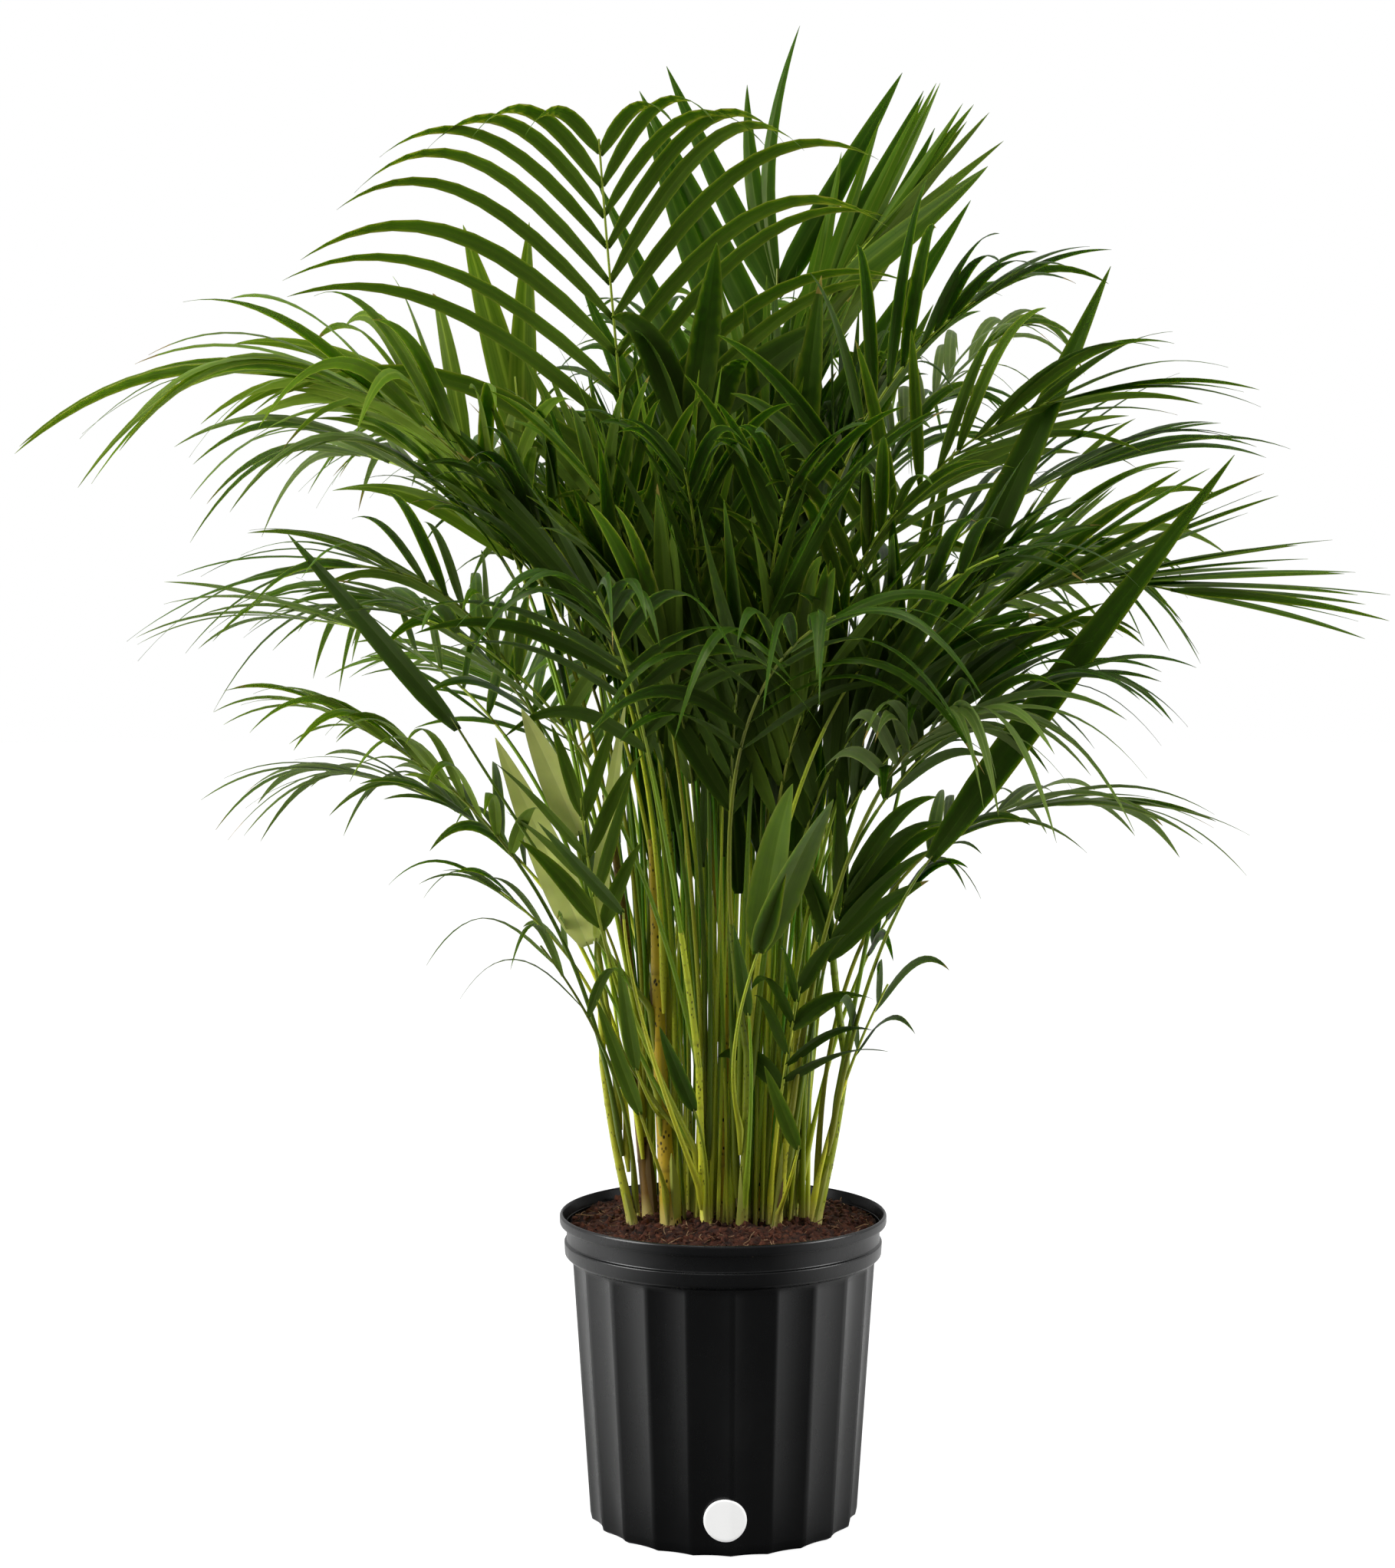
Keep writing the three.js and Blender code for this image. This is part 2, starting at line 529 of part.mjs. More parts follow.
// A blade ridged along its middle, from a point in the rib to a drawn-out tip
function leafletShape(plan) {
  const section = (share, fullness) => {
    const { centre, edge, up } = leafletFrame(plan, share);
    const half = 0.5 * plan.width * fullness;
    return [
      centre.clone().addScaledVector(edge, -half),
      centre.clone().addScaledVector(edge, half),
      centre.clone().addScaledVector(up, plan.thickness),
    ];
  };
  return loft([[plan.root], section(0.3, 1), section(0.68, 0.8), [leafletFrame(plan, 1).centre]]);
}

// The room that a leaflet needs: a box-like sleeve a little larger than it
function leafletRoom(plan) {
  const section = (share, fullness) => {
    const { centre, edge, up } = leafletFrame(plan, share);
    const half = 0.5 * plan.width * fullness + GAP;
    const corner = (x, z) => centre.clone().addScaledVector(edge, x).addScaledVector(up, z);
    return [
      corner(-half, -GAP), corner(half, -GAP),
      corner(half, plan.thickness + GAP), corner(-half, plan.thickness + GAP),
    ];
  };
  return loft([[plan.root], section(0.3, 1), section(0.68, 0.8), [leafletFrame(plan, 1.01).centre]]);
}

// Room: what is placed so far, so that nothing is put through it

const placed = [];

function place(owner, geometry) {
  geometry.computeBoundingBox();
  placed.push({ owner, box: geometry.boundingBox, solid: toSolid(geometry) });
}

function isClear(owners, geometry) {
  geometry.computeBoundingBox();
  const candidates = placed.filter((item) => (
    !owners.includes(item.owner) && item.box.intersectsBox(geometry.boundingBox)
  ));
  if (candidates.length === 0) return true;
  const solid = toSolid(geometry);
  const touched = candidates.some((item) => {
    const common = solid.intersect(item.solid);
    const touches = !common.isEmpty();
    common.delete();
    return touches;
  });
  solid.delete();
  return !touched;
}

function caneName(number) {
  return `cane_${String(number).padStart(2, '0')}`;
}

// Gives the rib the first foot and bend that leave it clear of the canes and the other ribs. A fused
// frond takes its host's foot.
function setRib(frond) {
  const host = fronds.find((other) => other.name === frond.host);
  const swings = host ? [host.swing] : frond.start === 1 ? [0] : PETIOLE_SWINGS;
  for (const shift of BEND_SHIFTS) {
    for (const swing of swings) {
      const curve = ribCurve(frond, swing, shift);
      if (host) curve.v0.copy(host.curve.v0);
      const room = ribShape(frond, curve, 2 * GAP);
      const rib = ribShape(frond, curve, 0);
      if (isClear([frond.caneName, frond.node], room) && isClear([frond.node], rib)) {
        Object.assign(frond, { curve, rib, swing });
        place(frond.node, rib);
        return;
      }
    }
  }
  throw new Error(`no room for the rib of ${frond.name}`);
}

// Adds the frond's leaflets from the lowest pair up; one that finds no room is left off
function setLeaflets(frond) {
  const pairs = frond.single ? 1 : Math.max(1, Math.round(frond.pairs * PAIR_SHARE));
  const sides = frond.single ? [1] : [-1, 1];
  frond.leaflets = [];
  for (let pair = 0; pair < pairs; pair += 1) {
    for (const side of sides) {
      const plan = LEAFLET_LIFTS
        .map((lift) => leafletPlan(frond, pair, side, lift))
        .find((candidate) => isClear([frond.node], leafletRoom(candidate)));
      if (plan) {
        const leaflet = leafletShape(plan);
        place(frond.node, leaflet);
        frond.leaflets.push(leaflet);
      }
    }
  }
}

// Fuses the ribs and leaflets that share a node
function nodeShape(members) {
  const [first, ...others] = members.flatMap((frond) => [frond.rib, ...frond.leaflets]).map(toSolid);
  return toGeometry(others.reduce((whole, solid) => whole.add(solid), first));
}

// The plant

const plant = new THREE.Group();

function addPiece(name, geometry, look) {
  const mesh = new THREE.Mesh(geometry, finish(look));
  mesh.name = name;
  plant.add(mesh);
}

addPiece('pot', pot(), 'pot');
addPiece('soil', soil(), 'soil');
addPiece('label', label(), 'label');

CANES.forEach((cane, k) => {
  const shape = caneShape(cane);
  place(caneName(k + 1), shape);
  addPiece(caneName(k + 1), shape, 'cane');
});

const fronds = FRONDS.map(readFrond);
fronds.forEach(setRib);
fronds.forEach(setLeaflets);
fronds.filter((frond) => !frond.host).forEach((frond) => {
  addPiece(frond.node, nodeShape(fronds.filter((member) => member.node === frond.node)), frond.tint);
});

export default plant;
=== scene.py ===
# %% [markdown]
# # A potted areca palm
#
# This lesson dresses a clump of palm canes in its black pot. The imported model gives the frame: the pot,
# the peat, the canes and the fronds stand where it says. Here each of them gets the surface that the real
# one has, and every frond is grown again by its own rule, with finer leaflets.
#
# Everything is in metres, +Z up, and the plant faces -Y.

# %% Load the frame
import math

import bmesh
import bpy
import numpy as np
from mathutils import Matrix, Vector
from mathutils import noise as relief


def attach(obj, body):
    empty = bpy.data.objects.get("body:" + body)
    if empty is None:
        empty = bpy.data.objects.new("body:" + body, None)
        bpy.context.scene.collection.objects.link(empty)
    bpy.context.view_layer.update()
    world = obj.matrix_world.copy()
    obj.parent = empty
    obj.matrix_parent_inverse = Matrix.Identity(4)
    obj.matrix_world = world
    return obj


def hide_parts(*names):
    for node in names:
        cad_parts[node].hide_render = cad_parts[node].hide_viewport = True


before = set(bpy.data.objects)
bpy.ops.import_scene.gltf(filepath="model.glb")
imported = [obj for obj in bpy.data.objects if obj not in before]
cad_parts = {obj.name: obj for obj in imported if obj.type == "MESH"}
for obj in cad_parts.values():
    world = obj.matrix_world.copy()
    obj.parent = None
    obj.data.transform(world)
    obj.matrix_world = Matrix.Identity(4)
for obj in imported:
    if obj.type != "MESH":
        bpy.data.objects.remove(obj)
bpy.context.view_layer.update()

MM = 0.001
SEED = 7


# %% [markdown]
# ## The camera and the room
#
# The pot's rim and underside show as two ellipses in the photograph. Together with the size of such a pot
# they fix where the camera stood: 1.8 m in front, a little above the middle of the plant, looking
# slightly down. A lens of 58 mm on a 36 mm frame gives the same view.

# %% Camera
FRAME_LONG_SIDE = 2044
FOCAL_LENGTH_IN_PIXELS = 3293
SENSOR = 36.0
CAMERA_DISTANCE = 1.808
CAMERA_HEIGHT = 0.5926
CAMERA_PITCH = math.radians(2.035)
CAMERA_YAW = math.radians(0.583)

lens = bpy.data.cameras.new("camera")
lens.sensor_width = SENSOR
lens.lens = SENSOR * FOCAL_LENGTH_IN_PIXELS / FRAME_LONG_SIDE
camera = bpy.data.objects.new("camera", lens)
camera.location = (0, -CAMERA_DISTANCE, CAMERA_HEIGHT)
camera.rotation_euler = (math.pi / 2 - CAMERA_PITCH, 0, CAMERA_YAW)
bpy.context.scene.collection.objects.link(camera)
bpy.context.scene.camera = camera
print("lens in mm:", round(lens.lens, 1))


# %% [markdown]
# ## Helpers for materials
#
# Each finish is a Principled shader in its own material. What several finishes share, such as mottling,
# is a node group that puts out colours, roughness and height only. Colours are written as they look on a
# screen and turned to linear light here.

# %% Colour and node helpers
def screen(red, green, blue):
    """A colour given as 0 to 255 on the screen, in linear light."""
    def linear(value):
        share = value / 255
        return share / 12.92 if share <= 0.04045 else ((share + 0.055) / 1.055) ** 2.4
    return (linear(red), linear(green), linear(blue), 1.0)


def plug(tree, value, socket):
    """Links the socket to another one, or gives it a plain value."""
    if isinstance(value, bpy.types.NodeSocket):
        tree.links.new(value, socket)
    else:
        socket.default_value = value


def node(tree, kind, settings=None, **inputs):
    """A node with its settings and inputs. An input is named, or numbered as i0, i1 and so on."""
    made = tree.nodes.new(kind)
    for key, value in (settings or {}).items():
        setattr(made, key, value)
    for key, value in inputs.items():
        by_number = key[0] == "i" and key[1:].isdigit()
        plug(tree, value, made.inputs[int(key[1:]) if by_number else key])
    return made


def maths(tree, operation, first, second=0.0, clamp=False):
    made = node(tree, "ShaderNodeMath", dict(operation=operation, use_clamp=clamp), i0=first, i1=second)
    return made.outputs[0]


def mix_colour(tree, share, first, second, kind="MIX"):
    settings = dict(data_type="RGBA", blend_type=kind)
    return node(tree, "ShaderNodeMix", settings, i0=share, i6=first, i7=second).outputs[2]


def ramp(tree, value, low, high, to_low=0.0, to_high=1.0):
    limits = {"From Min": low, "From Max": high, "To Min": to_low, "To Max": to_high}
    return node(tree, "ShaderNodeMapRange", None, Value=value, **limits).outputs["Result"]


def noise(tree, place, scale, detail=3.0, roughness=0.55):
    made = node(tree, "ShaderNodeTexNoise", None, Vector=place, Scale=scale, Detail=detail,
                Roughness=roughness)
    return made.outputs["Fac"]


def stretched(tree, place, scale):
    made = node(tree, "ShaderNodeMapping", None, Vector=place)
    made.inputs["Scale"].default_value = scale
    return made.outputs["Vector"]


def new_group(name, inputs, outputs):
    """An empty shader node group with these named sockets, its input node and its output node."""
    group = bpy.data.node_groups.new(name, "ShaderNodeTree")
    for title, kind, value in inputs:
        socket = group.interface.new_socket(title, in_out="INPUT", socket_type=kind)
        socket.default_value = value
    for title, kind in outputs:
        group.interface.new_socket(title, in_out="OUTPUT", socket_type=kind)
    return group, group.nodes.new("NodeGroupInput").outputs, group.nodes.new("NodeGroupOutput").inputs


def use_group(tree, group, **values):
    made = tree.nodes.new("ShaderNodeGroup")
    made.node_tree = group
    for title, value in values.items():
        plug(tree, value, made.inputs[title.replace("_", " ")])
    return made.outputs


def new_material(name, roughness=0.5, specular=0.5):
    paint = bpy.data.materials.new(name)
    paint.use_nodes = True
    shader = paint.node_tree.nodes["Principled BSDF"]
    shader.inputs["Roughness"].default_value = roughness
    shader.inputs["Specular IOR Level"].default_value = specular
    return paint, paint.node_tree, shader


def bump(tree, shader, height, distance, strength=1.0):
    made = node(tree, "ShaderNodeBump", None, Height=height, Distance=distance, Strength=strength)
    tree.links.new(made.outputs["Normal"], shader.inputs["Normal"])


# %% [markdown]
# The floor is one pale disc, and the world is a pale light, so the plant stands in a white studio with no
# visible corner. A world alone would leave the leaves flat. One large soft lamp from the left gives their
# sheen and the bright edge on the left of the pot. A weaker one from the right keeps that side readable,
# and one from above lights the crown. Towards the front both the world and the floor are dark, apart from
# what the camera sees of them. A studio's dark end does the same: it keeps the middle of the black pot
# black, between two bright sides.

# %% Floor, world and lamps
FLOOR_RADIUS = 30.0
FLOOR_POINTS = 96
FLOOR_SEEN = 0.3
FLOOR_GLOW = 0.9
FLOOR_SIDES = 0.8
FLOOR_FRONT = 0.06
WORLD_SIDES = 0.55
WORLD_FRONT = 0.2
WORLD_SEEN = 1.0
# places and sizes in metres, power in watts
KEY = dict(name="key", place=(-2.3, -0.7, 1.3), aim=(0, 0, 0.5), size=1.8, power=48)
FILL = dict(name="fill", place=(2.3, -0.5, 1.2), aim=(0, 0, 0.5), size=1.4, power=26)
TOP = dict(name="top", place=(-0.3, -0.5, 3.0), aim=(0, 0, 0.8), size=1.6, power=26)


def add_lamp(name, place, aim, size, power):
    lamp = bpy.data.lights.new(name, "AREA")
    lamp.shape = "DISK"
    lamp.size = size
    lamp.energy = power
    holder = bpy.data.objects.new(name, lamp)
    holder.location = place
    direction = Vector(aim) - Vector(place)
    holder.rotation_euler = direction.to_track_quat("-Z", "Y").to_euler()
    bpy.context.scene.collection.objects.link(holder)


def add_world():
    world = bpy.data.worlds.new("studio")
    world.use_nodes = True
    tree = world.node_tree
    background = tree.nodes["Background"]
    background.inputs["Color"].default_value = (1, 1, 1, 1)
    towards = node(tree, "ShaderNodeTexCoord").outputs["Generated"]
    front = node(tree, "ShaderNodeSeparateXYZ", None, Vector=towards).outputs["Y"]
    light = ramp(tree, front, -0.8, -0.15, WORLD_FRONT, WORLD_SIDES)
    seen = node(tree, "ShaderNodeLightPath").outputs["Is Camera Ray"]
    tree.links.new(ramp(tree, seen, 0, 1, light, WORLD_SEEN), background.inputs["Strength"])
    bpy.context.scene.world = world


def add_floor():
    disc = bmesh.new()
    bmesh.ops.create_circle(disc, cap_ends=True, segments=FLOOR_POINTS, radius=FLOOR_RADIUS)
    mesh = bpy.data.meshes.new("floor")
    disc.to_mesh(mesh)
    disc.free()
    floor = bpy.data.objects.new("floor", mesh)
    bpy.context.scene.collection.objects.link(floor)
    paint, tree, shader = new_material("pale_floor", 0.9)
    place = node(tree, "ShaderNodeTexCoord").outputs["Object"]
    heading = node(tree, "ShaderNodeVectorMath", dict(operation="NORMALIZE"), i0=place).outputs[0]
    front = node(tree, "ShaderNodeSeparateXYZ", None, Vector=heading).outputs["Y"]
    bounce = ramp(tree, front, -0.85, -0.1, FLOOR_FRONT, FLOOR_SIDES)
    seen = node(tree, "ShaderNodeLightPath").outputs["Is Camera Ray"]
    tree.links.new(ramp(tree, seen, 0, 1, bounce, FLOOR_SEEN), shader.inputs["Base Color"])
    tree.links.new(maths(tree, "MULTIPLY", seen, FLOOR_GLOW), shader.inputs["Emission Strength"])
    shader.inputs["Emission Color"].default_value = (1, 1, 1, 1)
    mesh.materials.append(paint)


for lamp_sizes in (KEY, FILL, TOP):
    add_lamp(**lamp_sizes)
add_world()
add_floor()
bpy.context.scene.view_settings.view_transform = "Standard"


# %% [markdown]
# ## The shared grain of living tissue
#
# Leaves and stems are never one flat green. Both have soft mottling a few centimetres across. On leaflets
# fine parallel veins run from root to tip with a paler midrib, and a thin pale rim along each edge is
# painted edge light, the bright margin of a lit blade. The mottling reads object coordinates, so that it
# flows on from one leaflet to the next. The veins and the rim follow the leaflet's own UV map, which runs
# across and along. A stem is cream at its foot, yellow-green above and greener at the top. Each has its
# own tone, a number stored on its points, which shifts where it turns green and how bright it is. Its
# brightness is partly the stem's own and partly painted light and shade, lit stems beside shaded ones.
# That tells one stem from the next in the crowded foot of the clump.

# %% Leaf and stem groups
def brightened(tree, colour, factor):
    """The colour, made brighter or darker by a factor that varies over the surface."""
    grey = node(tree, "ShaderNodeCombineColor", None, Red=factor, Green=factor, Blue=factor).outputs[0]
    return mix_colour(tree, 1.0, colour, grey, "MULTIPLY")


def build_leaf_grain():
    group, given, out = new_group(
        "Leaf grain",
        [("Colour", "NodeSocketColor", (0.1, 0.2, 0.05, 1)),
         ("Midrib", "NodeSocketColor", (0.3, 0.4, 0.1, 1)),
         ("Midrib Share", "NodeSocketFloat", 0.5), ("Gloss", "NodeSocketFloat", 0.35)],
        [("Colour", "NodeSocketColor"), ("Roughness", "NodeSocketFloat"), ("Height", "NodeSocketFloat")])
    place = group.nodes.new("ShaderNodeTexCoord").outputs
    mottle = noise(group, place["Object"], 14.0, 4.0)
    tone = brightened(group, given["Colour"], ramp(group, mottle, 0.3, 0.7, 0.72, 1.28))
    veins = noise(group, stretched(group, place["UV"], (9.0, 0.7, 1.0)), 1.0, 2.0)
    across = node(group, "ShaderNodeSeparateXYZ", None, Vector=place["UV"]).outputs["X"]
    off_middle = maths(group, "ABSOLUTE", maths(group, "SUBTRACT", across, 0.5))
    midrib = maths(group, "MULTIPLY", ramp(group, off_middle, 0.075, 0.02), given["Midrib Share"])
    lined = mix_colour(group, ramp(group, veins, 0.35, 0.7, 0.0, 0.45), tone,
                       mix_colour(group, 0.5, tone, given["Midrib"]))
    # a thin pale rim along both edges of the blade: painted edge light
    painted_lit_edges = mix_colour(group, ramp(group, off_middle, 0.43, 0.47, 0.0, 0.12), lined, given["Midrib"])
    group.links.new(mix_colour(group, midrib, painted_lit_edges, given["Midrib"]), out["Colour"])
    fine = noise(group, place["Object"], 90.0, 2.0)
    dulling = ramp(group, fine, 0.3, 0.7, -0.06, 0.1)
    group.links.new(maths(group, "ADD", given["Gloss"], dulling), out["Roughness"])
    group.links.new(maths(group, "ADD", maths(group, "MULTIPLY", veins, 0.5), midrib), out["Height"])
    return group


def build_stem_grain():
    group, given, out = new_group(
        "Stem grain",
        [("Foot Colour", "NodeSocketColor", (0.4, 0.4, 0.1, 1)),
         ("Colour", "NodeSocketColor", (0.3, 0.3, 0.05, 1)),
         ("Tip Colour", "NodeSocketColor", (0.2, 0.3, 0.05, 1)), ("Tone", "NodeSocketFloat", 0.5),
         ("Speck Colour", "NodeSocketColor", (0.03, 0.03, 0.01, 1)), ("Specks", "NodeSocketFloat", 0.5),
         ("Speck Scale", "NodeSocketFloat", 420.0)],
        [("Colour", "NodeSocketColor"), ("Height", "NodeSocketFloat")])
    place = group.nodes.new("ShaderNodeTexCoord").outputs
    height = node(group, "ShaderNodeSeparateXYZ", None, Vector=place["Object"]).outputs["Z"]
    own_green = ramp(group, given["Tone"], 0, 1, -0.7, 0.95)
    greener = maths(group, "ADD", ramp(group, height, 0.24, 0.62), own_green, clamp=True)
    streak = noise(group, stretched(group, place["Object"], (1.0, 1.0, 0.05)), 300.0, 2.0)
    patch = noise(group, place["Object"], 22.0, 3.0)
    base = mix_colour(group, greener, given["Colour"], given["Tip Colour"])
    base = mix_colour(group, ramp(group, height, 0.212, 0.232, 0.85, 0.0), base, given["Foot Colour"])
    streaked = mix_colour(group, ramp(group, streak, 0.4, 0.7, 0.0, 0.14), base,
                          mix_colour(group, 1.0, base, (0.6, 0.68, 0.5, 1), "MULTIPLY"))
    toned = mix_colour(group, ramp(group, patch, 0.45, 0.65, 0.0, 0.6), streaked,
                       mix_colour(group, 1.0, streaked, (1.2, 1.12, 0.8, 1), "MULTIPLY"))
    dots = node(group, "ShaderNodeTexVoronoi", None, Scale=given["Speck Scale"],
                Vector=stretched(group, place["Object"], (1.0, 1.0, 0.6))).outputs["Distance"]
    clusters = noise(group, place["Object"], 55.0, 2.0)
    speck = maths(group, "MULTIPLY", ramp(group, dots, 0.34, 0.2), ramp(group, clusters, 0.43, 0.53))
    speck = maths(group, "MULTIPLY", speck, given["Specks"])
    # each stem's brightness: partly its own tone, partly painted light and shade, lit stems beside shaded
    # ones
    light_and_tone_share = maths(group, "FRACT", maths(group, "MULTIPLY", given["Tone"], 7.3))
    toned = brightened(group, toned, ramp(group, light_and_tone_share, 0, 1, 0.62, 1.75))
    group.links.new(mix_colour(group, speck, toned, given["Speck Colour"]), out["Colour"])
    group.links.new(maths(group, "SUBTRACT", streak, speck), out["Height"])
    return group


LEAF_GRAIN = build_leaf_grain()
STEM_GRAIN = build_stem_grain()
print("shared groups:", LEAF_GRAIN.name, "and", STEM_GRAIN.name)


# %% [markdown]
# ## Making a mesh from arrays
#
# A crown has over a thousand alike blades, so they are made as arrays of points and joined from the
# start. One helper turns the arrays into a mesh object. Another wraps up what every finished piece needs:
# it rides on the plant's one body and stands for its CAD nodes.

# %% Mesh helpers
def mesh_object(name, points, faces, materials, face_materials=None, face_uvs=None, smooth=True):
    """A mesh object from points, a list of face arrays of one size each, and matching material numbers."""
    mesh = bpy.data.meshes.new(name)
    loops = np.concatenate([block.ravel() for block in faces])
    totals = np.concatenate([np.full(len(block), block.shape[1]) for block in faces])
    starts = np.concatenate([[0], np.cumsum(totals)[:-1]])
    mesh.vertices.add(len(points))
    mesh.vertices.foreach_set("co", np.asarray(points, np.float32).ravel())
    mesh.loops.add(len(loops))
    mesh.loops.foreach_set("vertex_index", loops.astype(np.int32))
    mesh.polygons.add(len(totals))
    mesh.polygons.foreach_set("loop_start", starts.astype(np.int32))
    mesh.polygons.foreach_set("loop_total", totals.astype(np.int32))
    mesh.polygons.foreach_set("use_smooth", np.full(len(totals), smooth))
    if face_materials is not None:
        mesh.polygons.foreach_set("material_index", np.concatenate(face_materials).astype(np.int32))
    mesh.update(calc_edges=True)
    if face_uvs is not None:
        layer = mesh.uv_layers.new(name="blade")
        layer.data.foreach_set("uv", np.concatenate([block.reshape(-1, 2) for block in face_uvs]).ravel())
    for material in materials:
        mesh.materials.append(material)
    made = bpy.data.objects.new(name, mesh)
    bpy.context.scene.collection.objects.link(made)
    return made


def finish_piece(piece, nodes=()):
    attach(piece, "root")
    if nodes:
        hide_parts(*nodes)
    triangles = sum(len(face.vertices) - 2 for face in piece.data.polygons)
    print(f"{piece.name}: {triangles} triangles")


def outward(points, faces):
    """Turns all faces over if they enclose a negative volume."""
    volume = 0.0
    for block in faces:
        first = points[block[:, 0]]
        for k in range(1, block.shape[1] - 1):
            volume += np.sum(first * np.cross(points[block[:, k]], points[block[:, k + 1]]))
    return faces if volume > 0 else [block[:, ::-1] for block in faces]


# %% [markdown]
# ## The palm's measures
#
# The same kind of table that shapes the solids: canes first, then what each kind of frond has in common,
# then one row for each frond. Lengths are in millimetres. A tip or a bend is a heading, a reach from the
# pot's axis and a height. A row's own sizes win over those of its kind, and those over the plain ones.
# The canes here are as slim as the real ones, a little slimmer than the solids. A few petioles stand
# turned or shifted a little, to pass their neighbours. The last rows share the foot of another frond,
# their host.

# %% Canes
SOIL_HEIGHT = 210.0
GAP = 0.3
CANES = [
    # foot x, foot y, top x, top y, top height, radius at the foot, radius at the top, colour
    (-64, -8, -86, -14, 330, 3.4, 2.6, "green"),
    (-52, 10, -66, 20, 370, 4.8, 3.6, "brown"),
    (-37, -12, -47, -18, 410, 6.2, 4.4, "yellow"),
    (-22, 12, -26, 22, 380, 3.4, 2.7, "green"),
    (-12, -20, -17, -36, 330, 3.2, 2.5, "green"),
    (1, -4, 0, -8, 420, 3.9, 3.0, "yellow"),
    (13, -22, 17, -38, 340, 3.7, 2.8, "green"),
    (27, 3, 41, 6, 410, 4.2, 3.1, "yellow"),
    (37, -17, 50, -30, 340, 3.3, 2.5, "green"),
    (49, 10, 66, 20, 370, 3.4, 2.7, "green"),
    (65, -5, 88, -8, 330, 3.9, 2.9, "green"),
    (-30, 36, -40, 60, 390, 3.4, 2.7, "green"),
    (6, 40, 6, 68, 410, 3.6, 2.8, "brown"),
    (40, 34, 56, 60, 380, 3.4, 2.7, "green"),
]
FOOT_FLARE = 1.15
CANE_STEPS = 3

# %% Kinds of frond
PLAIN = dict(
    # the foot's turn round its cane in degrees, the bend's shift sideways, the frond whose foot it shares
    swing=0, shift=0, host=None,
    # whether it is one lone blade, the opening on its second side, how late the leaflets shorten
    single=False, other=None, taper=1.5,
    # one shade or sideways bow for all its leaflets, and how far they stray from the rule
    shade=None, bow=None, chaos=1.0,
)
KINDS = {
    # width, opening in degrees at both ends, fold, sag, more sag at the tip, length at both ends
    "arch": dict(width=12, open=(58, 22), fold=24, sag=0.95, curl=0.4, low=0.75, high=0.5),
    "fan": dict(width=14, open=(44, 16), fold=40, sag=0.35, curl=0, low=0.8, high=0.7),
    "side": dict(width=10.5, open=(50, 14), fold=18, sag=0.55, curl=0, low=0.7, high=0.75),
    "young": dict(width=22, open=(34, 12), fold=20, sag=0.25, curl=0, low=0.9, high=0.9),
    "low": dict(width=11, open=(50, 18), fold=15, sag=0.7, curl=0, low=0.8, high=0.8),
}
print("kinds of frond:", ", ".join(KINDS))

